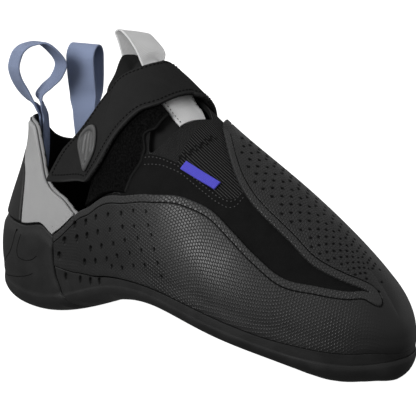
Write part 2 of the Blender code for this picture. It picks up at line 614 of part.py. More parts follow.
def smooth_route(points, count):
    """Curve through 3D points, by their running length."""
    points = np.asarray(points)
    run = np.concatenate([[0], np.cumsum(np.linalg.norm(np.diff(points, axis=0), axis=1))])
    at = np.linspace(0, run[-1], count)
    return np.stack([follow(list(zip(run, column)), at) for column in points.T], 1)


def collar_leg(place, half, shares, lift):
    """A sewn leg of webbing on the collar's inner face, curved across its width as the collar."""
    side = LATERAL if place < 0 else MEDIAL
    along = skin(abs(place) + 0.1, side, 0.9) - skin(abs(place), side, 0.9)
    reach = half / np.linalg.norm(along) * 0.1
    places = place + np.array([-1, 0, 1]) * reach
    sides = np.where(places < 0, LATERAL, MEDIAL)
    return skin(np.abs(places), sides, shares[:, None], lift)


def make_heel_loops():
    """Pull loops sewn inside the collar: two legs, and between them the loop, which turns from
    the collar's direction to its own twist."""
    for item in HEEL_LOOPS:
        depth = UPPER_WALL + item.seat
        near = collar_leg(item.place, HEEL_LOOP_HALF, LEG_SHARES, -depth)
        far = collar_leg(item.place, HEEL_LOOP_HALF, LEG_SHARES, -depth - BETWEEN_LEGS)
        top = (near[-1, 1] + far[-1, 1]) / 2
        lean, twist = np.array(item.lean), np.array(item.twist)
        twist = twist * np.sign(twist @ (near[-1, 2] - near[-1, 0]))
        middle = np.array([top + lean * a + np.array(item.rise) * b for a, b in item.route])
        turned = np.ones((len(middle), 1))
        turned[:2, 0] = turned[:-3:-1, 0] = 0.35, 0.7
        straight = (near[-1, 2] - near[-1, 0]) / (2 * HEEL_LOOP_HALF)
        facing = straight * (1 - turned) + twist * turned
        facing = facing / np.linalg.norm(facing, axis=1, keepdims=True)
        width = np.array([-1, 0, 1])[None, :, None] * HEEL_LOOP_HALF
        loop = middle[:, None] + width * facing[:, None]
        rows = np.concatenate([near, loop, far[::-1]])
        points = np.stack([smooth_route(rows[:, k], 32) for k in range(3)], 1)
        ribbon(item.name, points, BLUE_WEBBING)


def make_tongue_loop():
    """Pull loop at the top of the tongue: a sewn leg on the tongue's outer face, and the loop,
    back to the tongue's free edge."""
    stations = TONGUE_LOOP_STATIONS[:, None]
    lift = tongue_lift(stations, TONGUE_LOOP_HOOPS) + TONGUE_LOOP_SEAT + WEBBING / 2
    leg = hoop_skin(stations, TONGUE_LOOP_HOOPS, lift)
    middle = np.array([(x, 0, z) for x, z in TONGUE_LOOP_ROUTE])
    width = np.array([-1, 0, 1])[:, None] * TONGUE_LOOP_HALF * np.array(TONGUE_LOOP_SIDE)
    rows = np.concatenate([leg, middle[:, None] + width])
    points = np.stack([smooth_route(rows[:, k], 20) for k in range(3)], 1)
    ribbon("tongue_loop", points, PALE_TAPE)


def make_throat_tag():
    """Small plain tag on the stretch panel in front of the throat."""
    run = np.linspace(0, 1, 5)[:, None]
    rise = np.linspace(0, 1, 3)
    stations = TAG_CORNER[0] + TAG_RUN[0] * run + TAG_RISE[0] * rise
    shares = TAG_CORNER[1] + TAG_RUN[1] * run + TAG_RISE[1] * rise
    sheet("throat_tag", [(skin(stations, LATERAL, shares, GAP), False)], PURPLE_TAG, 0.7, TAG)


def make_insole():
    """Inner sole on the lasting margin, thicker where it fills the opening between the margins."""
    stations = np.concatenate([np.arange(0, 9, 0.6), np.linspace(9, TOE, 7)])[:, None]
    under = np.array([-1, -0.82, -0.68, -0.60, -0.36])
    sides, shares = across(under, under)
    ends = np.clip(1 - np.minimum(stations, TOE - stations), 0, 1)
    shares = shares - 0.14 * ends * (shares == under[-1])
    lower = np.interp(shares, [-0.68, -0.60], [-GAP, INSOLE_LIFT])
    upper = np.full_like(shares, INSOLE_LIFT - INSOLE)
    outer = skin(stations, sides, shares, lower)
    inner = skin(stations, sides, shares, upper)
    loft("insole", inner, outer, INSOLE_GREY, 0.9, open_start=False, open_end=False)


for old in list(bpy.data.objects):
    bpy.data.objects.remove(old, do_unlink=True)
SHOE = bpy.data.collections.new("climbing_shoe")
bpy.context.scene.collection.children.link(SHOE)

make_upper()
make_outsole()
make_heel_cup()
make_rubber_wrap()
make_heel_strip()
make_heel_panels()
make_loop_panel()
make_strap()
make_strap_badge()
make_tongue()
make_tongue_tape()
make_tongue_loop()
make_heel_loops()
make_throat_tag()
make_insole()
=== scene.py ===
"""Looks of the climbing shoe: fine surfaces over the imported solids, their finishes, light, camera.

The last is repeated from the part's source. A place on it has a station (0 at the heel, 13 at the
toe), a side, and a share: -1 at the middle of the bottom, 0 at the foot edge, 1 at the crest.
"""
from collections import namedtuple

import bmesh
import bpy
import numpy as np
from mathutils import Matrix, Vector


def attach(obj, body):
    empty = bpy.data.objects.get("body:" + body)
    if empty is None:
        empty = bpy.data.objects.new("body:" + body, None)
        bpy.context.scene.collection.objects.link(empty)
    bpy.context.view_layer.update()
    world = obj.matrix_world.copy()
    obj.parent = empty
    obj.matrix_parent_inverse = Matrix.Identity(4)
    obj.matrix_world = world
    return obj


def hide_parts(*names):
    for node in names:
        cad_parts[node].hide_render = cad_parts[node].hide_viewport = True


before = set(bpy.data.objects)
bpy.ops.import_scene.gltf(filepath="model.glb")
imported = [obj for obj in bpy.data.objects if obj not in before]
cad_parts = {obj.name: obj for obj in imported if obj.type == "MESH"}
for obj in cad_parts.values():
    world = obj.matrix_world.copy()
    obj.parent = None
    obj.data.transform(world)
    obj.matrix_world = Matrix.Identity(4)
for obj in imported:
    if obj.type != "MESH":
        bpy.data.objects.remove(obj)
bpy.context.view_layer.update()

MM = 0.001

# Driving sizes and walls, as in the part's source
LENGTH = 0.236
BALL_WIDTH = 0.086
INSTEP_HEIGHT = 0.129
HEEL_HEIGHT = 0.095
HEEL_REST_FROM_REAR = 0.0225
UPPER_WALL = 2.0 * MM
GAP = 0.4 * MM
RUBBER = 1.6 * MM
WRAP_GAP = 0.7 * MM
PANEL = 1.1 * MM
PANEL_GAP = 0.7 * MM
LOOP_PANEL = 1.7 * MM
STRAP = 2.2 * MM
TONGUE = 2.2 * MM
TONGUE_LIFT = -4.3 * MM
WEBBING = 1.1 * MM
BADGE = 1.1 * MM
TAG = 0.6 * MM
WELD = 2e-6
PROBE = 1e-3

LATERAL, MEDIAL = -1, 1

Section = namedtuple("Section", "along lateral medial foot spine_along crest_along crest_middle "
                                "crest_half heel instep bulge crown sole turn waist",
                     defaults=(0.0388, 0.25, 0.0))
SECTIONS = [
    Section(0.025, 0.000, 0.000, 0.122, 0.064, 0.062, 0.000, 0.000, 1.00, 0.000, 0.093, 0.0,
            0.098, 0.48, 0.13),
    Section(0.051, 0.186, 0.186, 0.122, 0.076, 0.083, 0.000, 0.105, 1.00, 0.000, 0.093, 0.0,
            0.098, 0.48, 0.10),
    Section(0.119, 0.291, 0.291, 0.105, 0.123, 0.131, 0.000, 0.174, 1.00, 0.020, 0.081, 0.0,
            0.078, 0.45, 0.03),
    Section(0.212, 0.314, 0.302, 0.101, 0.212, 0.212, -0.006, 0.215, 0.60, 0.350, 0.070, 0.0,
            0.055, 0.45),
    Section(0.318, 0.337, 0.291, 0.154, 0.318, 0.288, 0.000, 0.186, 0.20, 0.730, 0.070, 0.2),
    Section(0.415, 0.395, 0.291, 0.218, 0.415, 0.360, 0.000, 0.000, 0.00, 1.000, 0.070, 0.7),
    Section(0.500, 0.442, 0.326, 0.254, 0.500, 0.453, 0.017, 0.000, 0.00, 0.938, 0.058, 1.0),
    Section(0.585, 0.459, 0.395, 0.256, 0.585, 0.555, 0.035, 0.000, 0.00, 0.814, 0.047, 1.0),
    Section(0.669, 0.430, 0.477, 0.217, 0.669, 0.644, 0.070, 0.000, 0.00, 0.709, 0.035, 1.0),
    Section(0.746, 0.360, 0.535, 0.171, 0.746, 0.729, 0.105, 0.000, 0.00, 0.612, 0.035, 1.0),
    Section(0.831, 0.221, 0.558, 0.116, 0.831, 0.814, 0.151, 0.000, 0.00, 0.496, 0.035, 1.0),
    Section(0.898, 0.081, 0.514, 0.085, 0.892, 0.877, 0.186, 0.000, 0.00, 0.399, 0.050, 1.0,
            0.056, 0.20),
    Section(0.948, -0.070, 0.388, 0.080, 0.934, 0.928, 0.209, 0.000, 0.00, 0.314, 0.062, 1.0, 0.049),
    Section(0.974, -0.215, 0.215, 0.088, 0.950, 0.966, 0.215, 0.000, 0.00, 0.225, 0.050, 1.0, 0.057),
]
TOE = len(SECTIONS) - 1
LOOP = 2 * TOE
CREST_CLOSED = 5
LOW_HANDLE = 0.42
CROWN_HANDLE = {LATERAL: 0.62, MEDIAL: 0.45}
UPRIGHT_HANDLE = 0.35
EDGE_SHARE = 0.64

# Edges on the form, as (station, share)
THROAT = 7.0
RIM = {
    LATERAL: [(0, 0.955), (1, 0.965), (1.98, 0.925), (2.52, 0.775), (2.96, 0.60), (3.6, 0.465),
              (4.2, 0.325), (4.44, 0.335), (4.62, 0.42), (4.8, 0.515), (5.1, 0.635), (5.5, 0.735),
              (6.0, 0.76), (6.33, 0.56), (6.67, 0.73), (6.84, 0.88), (THROAT, 1.0)],
    MEDIAL: [(0, 0.955), (0.28, 0.915), (0.56, 0.865), (0.9, 0.82), (1.3, 0.79), (1.98, 0.765),
             (2.52, 0.695), (2.96, 0.60), (3.6, 0.49), (4.2, 0.40), (4.6, 0.42), (5.2, 0.52),
             (6.0, 0.72), (6.6, 0.86), (THROAT, 1.0)],
}
BAND_TOP = [(3.36, 0.135), (4.06, 0.075), (5.04, 0.032), (6.26, 0.027), (8.32, 0.045),
            (9.42, 0.05), (10.38, 0.075), (11.5, 0.10), (12.2, 0.13), (TOE, 0.135)]
WING_TOP = [(3.38, 0.28), (4.2, 0.325), (4.66, 0.306), (5.72, 0.329), (6.66, 0.414), (7.48, 0.51),
            (8.12, 0.54), (8.7, 0.515), (9.24, 0.475), (9.76, 0.445), (10.54, 0.52),
            (11.28, 0.61), (11.8, 0.715), (TOE, 0.75)]
PATCH_EDGE = [(7.25, 1.0), (7.9, 0.84), (8.42, 0.75), (8.88, 0.705), (9.68, 0.665),
              (10.28, 0.625), (11.02, 0.655), (11.8, 0.715)]
MEDIAL_TOP = [(3.38, 0.27), (4.2, 0.29), (5.0, 0.33), (5.8, 0.41), (6.3, 0.53), (6.8, 0.76),
              (7.25, 1.0)]
CUP_TOP = [(0, 0.325), (2.28, 0.325), (2.9, 0.345), (3.38, 0.27)]
SUEDE_EDGE = [(5.6, 0.42), (6.3, 0.545), (6.78, 0.60), (7.24, 0.63), (8.04, 0.63), (8.3, 0.65),
              (8.46, 0.69), (8.54, 0.76), (8.9, 0.76), (9.68, 0.72), (10.28, 0.68), (11.02, 0.70),
              (12.0, 0.76)]
WING_REAR = 3.38
SLOT_END = 11.8
PANEL_TIP = 4.0
PATCH_REAR = 7.25

# Edges across the form, as (share, station)
HEEL_JOIN = [(-1, 4.0), (-0.5, 3.85), (0, 3.56), (0.095, 3.42), (0.2, 3.38), (0.4, 3.38)]
STRIP_EDGE = [(0.335, 2.22), (0.5, 2.12), (0.62, 1.95), (0.70, 1.6), (0.76, 1.2)]
PANEL_REAR = {
    LATERAL: [(0.335, 2.28), (0.5, 2.19), (0.62, 2.04), (0.70, 1.71), (0.76, 1.36), (0.79, 0.95),
              (0.82, 0.5), (0.85, 0.06), (0.92, 0.06)],
    MEDIAL: [(0.335, 2.28), (0.5, 2.19), (0.62, 2.04), (0.70, 1.71), (0.755, 1.4)],
}
FLAP_REAR = [(0.30, 4.42), (0.345, 4.52), (0.405, 4.62), (0.5, 4.8), (0.62, 5.1), (0.72, 5.45),
             (0.78, 5.75)]
FLAP_FRONT = [(0.30, 5.95), (0.365, 6.06), (0.455, 6.24), (0.505, 6.24), (0.57, 6.12),
              (0.645, 6.32), (0.71, 6.37), (0.78, 6.43)]

# The strap from its sewn end on the inner side to its free end. A hoop place is share - 1 on the
# outer side and 1 - share on the inner side.
StrapRow = namedtuple("StrapRow", "rear rear_hoop front front_hoop lift")
STRAP_ROWS = [
    StrapRow(5.64, 0.42, 6.24, 0.40, 0.0005),
    StrapRow(5.68, 0.25, 6.44, 0.23, 0.0012),
    StrapRow(5.70, 0.08, 6.52, 0.06, 0.0014),
    StrapRow(5.68, -0.025, 6.46, -0.03, 0.0016),
    StrapRow(5.48, -0.145, 6.24, -0.215, 0.0024),
    StrapRow(5.14, -0.21, 5.90, -0.335, 0.0030),
    StrapRow(4.76, -0.245, 5.66, -0.415, 0.0030),
    StrapRow(4.28, -0.265, 5.20, -0.535, 0.0030),
    StrapRow(3.76, -0.28, 5.02, -0.57, 0.0032),
    StrapRow(3.20, -0.42, 4.60, -0.605, 0.0034),
]

# Webbing pull loops. A place is a station, below 0 on the outer side. The route is (across, up)
# in metres from the top of the sewn legs, across along lean and up along rise.
HeelLoop = namedtuple("HeelLoop", "name place seat lean rise twist route")
HEEL_LOOP_HALF = 7.5 * MM
HEEL_LOOPS = [
    HeelLoop("heel_loop_back", -0.46, 0.0021,
             (0.71, 0.71, 0), (0.2, -0.2, 0.96), (0.92, -0.36, 0.12),
             [(-0.0027, 0.0041), (-0.0060, 0.0080), (-0.0094, 0.0136), (-0.0125, 0.0205),
              (-0.0133, 0.0265), (-0.0114, 0.0332), (-0.0070, 0.0376), (-0.0009, 0.0391),
              (0.0056, 0.0345), (0.0092, 0.0274), (0.0070, 0.0210), (0.0018, 0.0153),
              (-0.0018, 0.0106), (-0.0004, 0.0052)]),
    HeelLoop("heel_loop_inner", 2.17, 0.0010,
             (0.33, -0.94, 0), (0.0, 0.05, 1.0), (0.94, 0.33, 0),
             [(-0.0022, 0.003), (-0.0056, 0.010), (-0.0056, 0.019), (-0.0050, 0.027),
              (-0.0028, 0.0315), (0.0005, 0.0325), (0.0040, 0.0305), (0.0053, 0.0265),
              (0.0042, 0.020), (0.0028, 0.014), (0.0010, 0.007)]),
]
LEG_SHARES = np.array([0.62, 0.74, 0.85, 0.95])
BETWEEN_LEGS = 1.6 * MM
TONGUE_LOOP_HALF = 7.8 * MM
TONGUE_LOOP_SIDE = (0.36, 0.90, -0.22)
TONGUE_LOOP_SEAT = 0.0011
TONGUE_LOOP_HOOPS = np.array([-0.12, 0.0, 0.12])
TONGUE_LOOP_STATIONS = np.array([5.75, 5.5])
TONGUE_LOOP_ROUTE = [(0.0715, 0.1318), (0.0661, 0.1369), (0.0605, 0.1397), (0.0580, 0.1381),
                     (0.0598, 0.1345), (0.0612, 0.1312), (0.0622, 0.1285), (0.0630, 0.1255)]
TONGUE_END = 8.0
TONGUE_START = [(0.0, 5.28), (0.1, 5.0), (0.5, 5.0)]
TONGUE_RISE = 3.0 * MM
TONGUE_FREE = [(-0.5, -0.004, 0.0, 0.0), (-0.4, -0.009, -0.001, 0.0025),
               (-0.3, -0.013, -0.0023, 0.0049), (-0.2, -0.0085, -0.0028, 0.0062),
               (-0.12, -0.0046, -0.0032, 0.0068), (-0.06, -0.002, -0.0015, 0.004),
               (0.0, 0.0, 0.0, 0.0005), (0.06, -0.001, 0.0015, 0.002),
               (0.12, -0.0025, 0.0025, 0.0035), (0.2, -0.005, 0.002, 0.004),
               (0.3, -0.006, 0.001, 0.003), (0.5, -0.003, 0.0, 0.0)]
TAPE_START, TAPE_END = 5.95, 6.9
TAPE_SEAT = 0.6 * MM
TAPE_TRIM = {LATERAL: 1.1, MEDIAL: 2.7}
BADGE_MIDDLE, BADGE_LONG, BADGE_WIDE = (7.86, 0.585), (0.80, 0.27), (-0.20, 0.28)
BADGE_TAPER = 0.6
TAG_CORNER, TAG_RUN, TAG_RISE = (7.12, 0.605), (0.84, 0.035), (0.05, 0.055)


# Curves and ramps

EDGE_STEPS = np.array([0, 0.06, 0.16, 0.32, 0.55, 0.8, 1.0])


def unit(vectors):
    """Vectors of length one."""
    return vectors / np.linalg.norm(vectors, axis=-1, keepdims=True)


def rounded(distance, radius):
    """Height of a round edge as a share: a quarter circle over radius, then 1."""
    near = np.clip(np.asarray(distance) / radius, 0, 1)
    return np.sqrt(np.clip(1 - (1 - near) ** 2, 0, 1))


def smoothstep(low, high, value):
    """0 below low, 1 above high, with a smooth rise between."""
    t = np.clip((value - low) / (high - low), 0, 1)
    return t * t * (3 - 2 * t)


def bell(value, width):
    """Soft ridge: 1 at 0, falling off over width."""
    return np.exp(-(value / width) ** 2)


def edged(count, margin, fine, low=0.0):
    """Places from low to 1: fine steps at both ends, and count even ones between the margins."""
    return np.concatenate([low + EDGE_STEPS * fine, np.linspace(low + margin, 1 - margin, count),
                           1 - EDGE_STEPS[::-1] * fine])


def from_ends(share):
    """How far a share of 0 to 1 lies from its nearer end."""
    return np.minimum(share, 1 - share)


def follow(table, at):
    """Smooth curve through (x, y) rows that never swings past a row: cubic pieces whose slopes
    are the harmonic mean of the two neighbouring runs, and zero at a turn."""
    x, y = np.array(table, float).T
    at = np.clip(at, x[0], x[-1])
    run = np.diff(y) / np.diff(x)
    slope = np.zeros_like(y)
    same = run[:-1] * run[1:] > 0
    slope[1:-1][same] = 2 * run[:-1][same] * run[1:][same] / (run[:-1] + run[1:])[same]
    slope[0], slope[-1] = run[0], run[-1]
    i = np.clip(np.searchsorted(x, at, side="right") - 1, 0, len(x) - 2)
    width = x[i + 1] - x[i]
    t = (at - x[i]) / width
    return (y[i] * (1 + 2 * t) * (1 - t) ** 2 + y[i + 1] * t * t * (3 - 2 * t)
            + width * (slope[i] * t * (1 - t) ** 2 - slope[i + 1] * t * t * (1 - t)))


def follow_columns(keys, columns, at):
    """Several smooth curves over the same keys, one for each column."""
    return [follow(list(zip(keys, column)), at) for column in columns]


# The last

NEAR_MIDDLES = (-0.97, 0.985)
ON_MIDDLE = 0.999


def ring_curvature(values):
    """Second derivatives of the closed cubic spline through values, one unit apart."""
    count = len(values)
    matrix = 4 * np.eye(count) + np.roll(np.eye(count), 1, 1) + np.roll(np.eye(count), -1, 1)
    bend = 6 * (np.roll(values, -1, 0) - 2 * values + np.roll(values, 1, 0))
    return np.linalg.solve(matrix, bend)


def section_ring():
    """Foot, crest and spine points, bulge and crown of each section, round the shoe in one loop:
    heel to toe on the outer side, then toe to heel on the inner side."""
    rows = []
    order = [(row, LATERAL) for row in SECTIONS] + [(row, MEDIAL) for row in SECTIONS[-2:0:-1]]
    for row, sign in order:
        half = row.lateral if sign == LATERAL else row.medial
        foot_height = row.foot * INSTEP_HEIGHT
        crest_height = row.heel * HEEL_HEIGHT + row.instep * INSTEP_HEIGHT
        middle = (row.medial - row.lateral) / 2 * BALL_WIDTH
        rows.append([
            row.along * LENGTH - HEEL_REST_FROM_REAR, sign * half * BALL_WIDTH, foot_height,
            row.crest_along * LENGTH - HEEL_REST_FROM_REAR,
            (row.crest_middle + sign * row.crest_half) * BALL_WIDTH, crest_height,
            row.spine_along * LENGTH - HEEL_REST_FROM_REAR, middle,
            foot_height - row.sole * INSTEP_HEIGHT, row.bulge * BALL_WIDTH, row.crown,
            row.sole * INSTEP_HEIGHT, row.turn, row.waist * BALL_WIDTH])
    return np.array(rows)


RING = section_ring()
RING_BEND = ring_curvature(RING)


def ring_at(loop):
    """The section ring's values at any loop coordinate, by its closed spline."""
    loop = np.mod(loop, LOOP)
    i = np.floor(loop).astype(int) % LOOP
    j = (i + 1) % LOOP
    b = (loop - np.floor(loop))[..., None]
    a = 1 - b
    return ((RING_BEND[i] * a ** 3 + RING_BEND[j] * b ** 3) / 6
            + (RING[i] - RING_BEND[i] / 6) * a + (RING[j] - RING_BEND[j] / 6) * b)


def bezier(start, first, second, end, t):
    """Cubic Bezier from start to end with two handles."""
    s = 1 - t
    return start * s ** 3 + 3 * first * s * s * t + 3 * second * s * t * t + end * t ** 3


def form(loop, share):
    """A point of the last. Above the foot edge the wall bulges out and rounds over the crest;
    below it the bottom turns in to the middle line."""
    values, other = ring_at(loop), ring_at(LOOP - loop)
    foot, crest, spine = values[..., 0:3], values[..., 3:6], values[..., 6:9]
    station = np.where(loop <= TOE, loop, LOOP - loop)
    closed = (np.mod(station, LOOP) >= CREST_CLOSED)[..., None]
    crest = np.where(closed, (crest + other[..., 3:6]) / 2, crest)
    spine = (spine + other[..., 6:9]) / 2
    along = unit(ring_at(loop + PROBE)[..., 0:2] - ring_at(loop - PROBE)[..., 0:2])
    out = np.stack([along[..., 1], -along[..., 0], 0 * along[..., 0]], -1)
    bulge, crown = values[..., 9:10], np.clip(values[..., 10:11], 0, 1)
    depth, turn, waist = values[..., 11:12], values[..., 12:13], values[..., 13:14]
    inner_handle = np.interp(station, [TOE - 2, TOE], [CROWN_HANDLE[MEDIAL], CROWN_HANDLE[LATERAL]])
    handle = np.where(station == loop, CROWN_HANDLE[LATERAL], inner_handle)[..., None]
    up = np.array([0.0, 0.0, 1.0])
    flat = np.array([1.0, 1.0, 0.0])
    rise = (crest - foot)[..., 2:3]
    low = foot + up * LOW_HANDLE * rise + out * bulge
    over = crest + (foot - crest) * flat * handle
    upright = crest + (out * bulge - up * rise) * UPRIGHT_HANDLE - out * waist
    wall = bezier(foot, low, over * crown + upright * (1 - crown), crest,
                  np.clip(share, 0, 1)[..., None])
    inner = (foot + (spine - foot) * turn) * flat + spine * up
    bottom = bezier(foot, foot - up * EDGE_SHARE * depth, inner, spine,
                    np.clip(-share, 0, 1)[..., None])
    return np.where((share >= 0)[..., None], wall, bottom)


def outward(loop, share):
    """Unit normal of the form, from its slopes round the shoe and up the section."""
    share = np.clip(share, *NEAR_MIDDLES)
    round_shoe = form(loop + PROBE, share) - form(loop - PROBE, share)
    up_section = form(loop, share + PROBE) - form(loop, share - PROBE)
    return unit(np.cross(round_shoe, up_section))


def skin_normal(station, side, share):
    """Form point and unit normal. On the crest and on the bottom's middle line both sides share
    one normal, so that their edges meet."""
    station, side, share = np.broadcast_arrays(np.asarray(station, float), side,
                                               np.asarray(share, float))
    loop = np.where(side < 0, station, LOOP - station)
    normal = outward(loop, share)
    meets = (np.abs(share) > ON_MIDDLE) & ((share < 0) | (station >= CREST_CLOSED))
    both = unit(normal + outward(LOOP - loop, share))
    return form(loop, share), np.where(meets[..., None], both, normal)


def skin(station, side, share, lift=0.0):
    """A point of the form, lifted along its normal."""
    point, normal = skin_normal(station, side, share)
    return point + normal * np.broadcast_to(lift, point.shape[:-1])[..., None]


def hoop_skin(station, hoop, lift):
    """The same, by hoop place: outer side below 0, crest at 0, inner side above."""
    return skin(station, np.where(hoop <= 0, LATERAL, MEDIAL), 1 - np.abs(hoop), lift)


def share_length(station, side, share):
    """Metres on the form for one unit of share, at a place."""
    step = 0.02
    low = np.clip(share - step, 0, 1 - 2 * step)
    ends = skin(station, side, low), skin(station, side, low + 2 * step)
    return np.linalg.norm(ends[1] - ends[0], axis=-1) / (2 * step)


# Meshes

Grid = namedtuple("Grid", "points turn chart fields")


def running_length(points, axis):
    """Length along one direction of a grid, in millimetres, from its first row."""
    steps = np.linalg.norm(np.diff(points, axis=axis), axis=-1)
    zero = np.zeros_like(np.take(steps, [0], axis=axis))
    return np.concatenate([zero, np.cumsum(steps, axis=axis)], axis=axis) / MM


def chart_of(points):
    """Flat chart of a grid in millimetres: the mean length along the rows, and each row's own
    length across."""
    along = running_length(points, 0)
    middle = along[:, along.shape[1] // 2][:, None]
    return np.stack([np.broadcast_to(middle, along.shape), running_length(points, 1)], -1)


def faces_of(outer, inner, turn, chart=None, **fields):
    """Outer and inner face of a wall as two grids, the inner one reversed."""
    chart = chart_of(outer) if chart is None else chart
    return [Grid(outer, turn, chart, fields), Grid(inner, not turn, chart, fields)]


def add_piece(name, grids, finish, replaces=()):
    """One mesh from grids of quads whose touching edges are welded, with a flat chart and point
    attributes, on the shoe's body."""
    starts = np.cumsum([0] + [g.points.shape[0] * g.points.shape[1] for g in grids])
    quads = []
    for grid, start in zip(grids, starts):
        rows, columns = grid.points.shape[:2]
        index = start + np.arange(rows * columns).reshape(rows, columns)
        quad = np.stack([index[:-1, :-1], index[1:, :-1], index[1:, 1:], index[:-1, 1:]], -1)
        quads.append(quad.reshape(-1, 4)[:, ::-1] if grid.turn else quad.reshape(-1, 4))
    quads = np.concatenate(quads)
    points = np.concatenate([g.points.reshape(-1, 3) for g in grids])
    chart = np.concatenate([np.asarray(g.chart, float).reshape(-1, 2) for g in grids])
    mesh = bpy.data.meshes.new(name)
    mesh.vertices.add(len(points))
    mesh.vertices.foreach_set("co", points.astype(np.float32).ravel())
    mesh.loops.add(quads.size)
    mesh.loops.foreach_set("vertex_index", quads.astype(np.int32).ravel())
    mesh.polygons.add(len(quads))
    mesh.polygons.foreach_set("loop_start", np.arange(len(quads), dtype=np.int32) * 4)
    mesh.update(calc_edges=True)
    layer = mesh.uv_layers.new(name="chart")
    layer.uv.foreach_set("vector", chart[quads.ravel()].astype(np.float32).ravel())
    for key in sorted({key for g in grids for key in g.fields}):
        values = np.concatenate([
            np.broadcast_to(g.fields.get(key, 0.0), g.points.shape[:2]).ravel() for g in grids])
        layer = mesh.attributes.new(key, "FLOAT", "POINT")
        layer.data.foreach_set("value", values.astype(np.float32))
    work = bmesh.new()
    work.from_mesh(mesh)
    bmesh.ops.remove_doubles(work, verts=work.verts, dist=WELD)
    bmesh.ops.dissolve_degenerate(work, edges=work.edges, dist=WELD)
    work.to_mesh(mesh)
    work.free()
    mesh.shade_smooth()
    mesh.materials.append(finish)
    piece = bpy.data.objects.new(name, mesh)
    bpy.context.scene.collection.objects.link(piece)
    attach(piece, "root")
    if replaces:
        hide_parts(*replaces)


def overlay(name, places, gap, height, turn, finish, slot, replaces=(), **fields):
    """A sheet on the form at (stations, sides, shares): its under face stands off by gap, its
    outer face by a further height, and it is flat where it meets the floor."""
    inner = skin(*places, gap)
    outer = skin(*places, gap + height)
    outer[..., 2] = np.maximum(outer[..., 2], 0.0)
    add_piece(name, faces_of(outer, inner, turn, **fields), finish, replaces)


# Finishes

class Wire:
    """A shader socket that takes part in arithmetic: each operation adds a Math node."""

    def __init__(self, finish, socket):
        self.finish, self.socket = finish, socket

    def math(self, operation, *values):
        return self.finish.node("ShaderNodeMath", {"operation": operation},
                                dict(enumerate(values)))

    def __add__(self, other):
        return self.math("ADD", self, other)

    def __sub__(self, other):
        return self.math("SUBTRACT", self, other)

    def __rsub__(self, other):
        return self.math("SUBTRACT", other, self)

    def __mul__(self, other):
        return self.math("MULTIPLY", self, other)

    def __truediv__(self, other):
        return self.math("DIVIDE", self, other)

    def __mod__(self, other):
        return self.math("FLOORED_MODULO", self, other)

    def __lt__(self, other):
        return self.math("LESS_THAN", self, other)

    def __abs__(self):
        return self.math("ABSOLUTE", self)

    def sine(self):
        return self.math("SINE", self)

    def most(self, other):
        return self.math("MAXIMUM", self, other)

    __radd__ = __add__
    __rmul__ = __mul__


# Colour of painted shade, mixed in by paint_shade.
BLACK = (0.0008, 0.0008, 0.0008, 1.0)


class Finish:
    """A material under construction: its shader, and nodes added by type."""

    def __init__(self, name, **constants):
        self.material = bpy.data.materials.new(name)
        self.material.use_nodes = True
        self.tree = self.material.node_tree
        self.shader = self.tree.nodes["Principled BSDF"]
        for key, value in constants.items():
            self.shader.inputs[key.replace("_", " ")].default_value = value

    def node(self, kind, settings, inputs, output=0):
        """A node of a type with its settings, then its sockets' values or links."""
        made = self.tree.nodes.new(kind)
        for key, value in settings.items():
            setattr(made, key, value)
        for key, value in inputs.items():
            if isinstance(value, Wire):
                self.tree.links.new(value.socket, made.inputs[key])
            else:
                made.inputs[key].default_value = value
        return Wire(self, made.outputs[output])

    def chart(self):
        """The piece's own flat chart in millimetres, as two values."""
        chart = self.node("ShaderNodeUVMap", {"uv_map": "chart"}, {})
        return (self.node("ShaderNodeSeparateXYZ", {}, {0: chart}, 0),
                self.node("ShaderNodeSeparateXYZ", {}, {0: chart}, 1))

    def field(self, name):
        """A point attribute of the mesh."""
        return self.node("ShaderNodeAttribute", {"attribute_name": name}, {}, "Fac")

    def noise(self, size, detail, roughness=0.55):
        """Noise in the shoe's own space; size is its grain in metres."""
        place = self.node("ShaderNodeTexCoord", {}, {}, "Object")
        return self.node("ShaderNodeTexNoise", {"noise_dimensions": "3D"},
                         {"Vector": place, "Scale": 1 / size, "Detail": detail,
                          "Roughness": roughness}, "Fac")

    def ramp(self, value, low, high, start=0.0, end=1.0):
        """Smooth rise of a value from low to high, mapped to start and end."""
        return self.node("ShaderNodeMapRange", {"interpolation_type": "SMOOTHSTEP"},
                         {"Value": value, "From Min": low, "From Max": high, "To Min": start,
                          "To Max": end})

    def blend(self, factor, first, second):
        """Mix of two colours."""
        return self.node("ShaderNodeMix", {"data_type": "RGBA"},
                         {"Factor": factor, 6: first, 7: second}, 2)

    def paint(self, socket, value):
        """Links a value to one of the shader's sockets."""
        self.tree.links.new(value.socket, self.shader.inputs[socket])

    def paint_shade(self, factor):
        """Paints shade by a factor: mixes in a matte black without reflection where the surface lies
        in shade, as in deep moulded lines and pits.
        """
        black = self.tree.nodes.new("ShaderNodeBsdfPrincipled")
        for key, value in (("Base Color", BLACK), ("Roughness", 1.0), ("Specular IOR Level", 0.0)):
            black.inputs[key].default_value = value
        mix = self.node("ShaderNodeMixShader", {}, {0: factor})
        self.tree.links.new(self.shader.outputs[0], mix.socket.node.inputs[1])
        self.tree.links.new(black.outputs[0], mix.socket.node.inputs[2])
        self.tree.links.new(mix.socket, self.tree.nodes["Material Output"].inputs["Surface"])

    def relief(self, height, depth):
        """Bump from a height of 0 to 1 that is depth metres deep."""
        self.paint("Normal", self.node("ShaderNodeBump", {}, {"Height": height, "Distance": depth},
                                       "Normal"))


def colour(red, green, blue):
    """Screen colour, 0 to 255, as linear light with alpha."""
    screen = np.array([red, green, blue]) / 255
    linear = np.where(screen <= 0.04045, screen / 12.92, ((screen + 0.055) / 1.055) ** 2.4)
    return (*[float(v) for v in linear], 1.0)


def grey(value):
    """Neutral screen colour."""
    return colour(value, value, value)


# Pitches of the repeats in millimetres, and sizes of the grains
CELL = 1.5
RIB = 1.2
LOOP_PITCH = 0.8
YARN = 0.55
FINE_GRAIN = 0.4 * MM
GRAIN = 0.5 * MM
CURL = 0.9 * MM


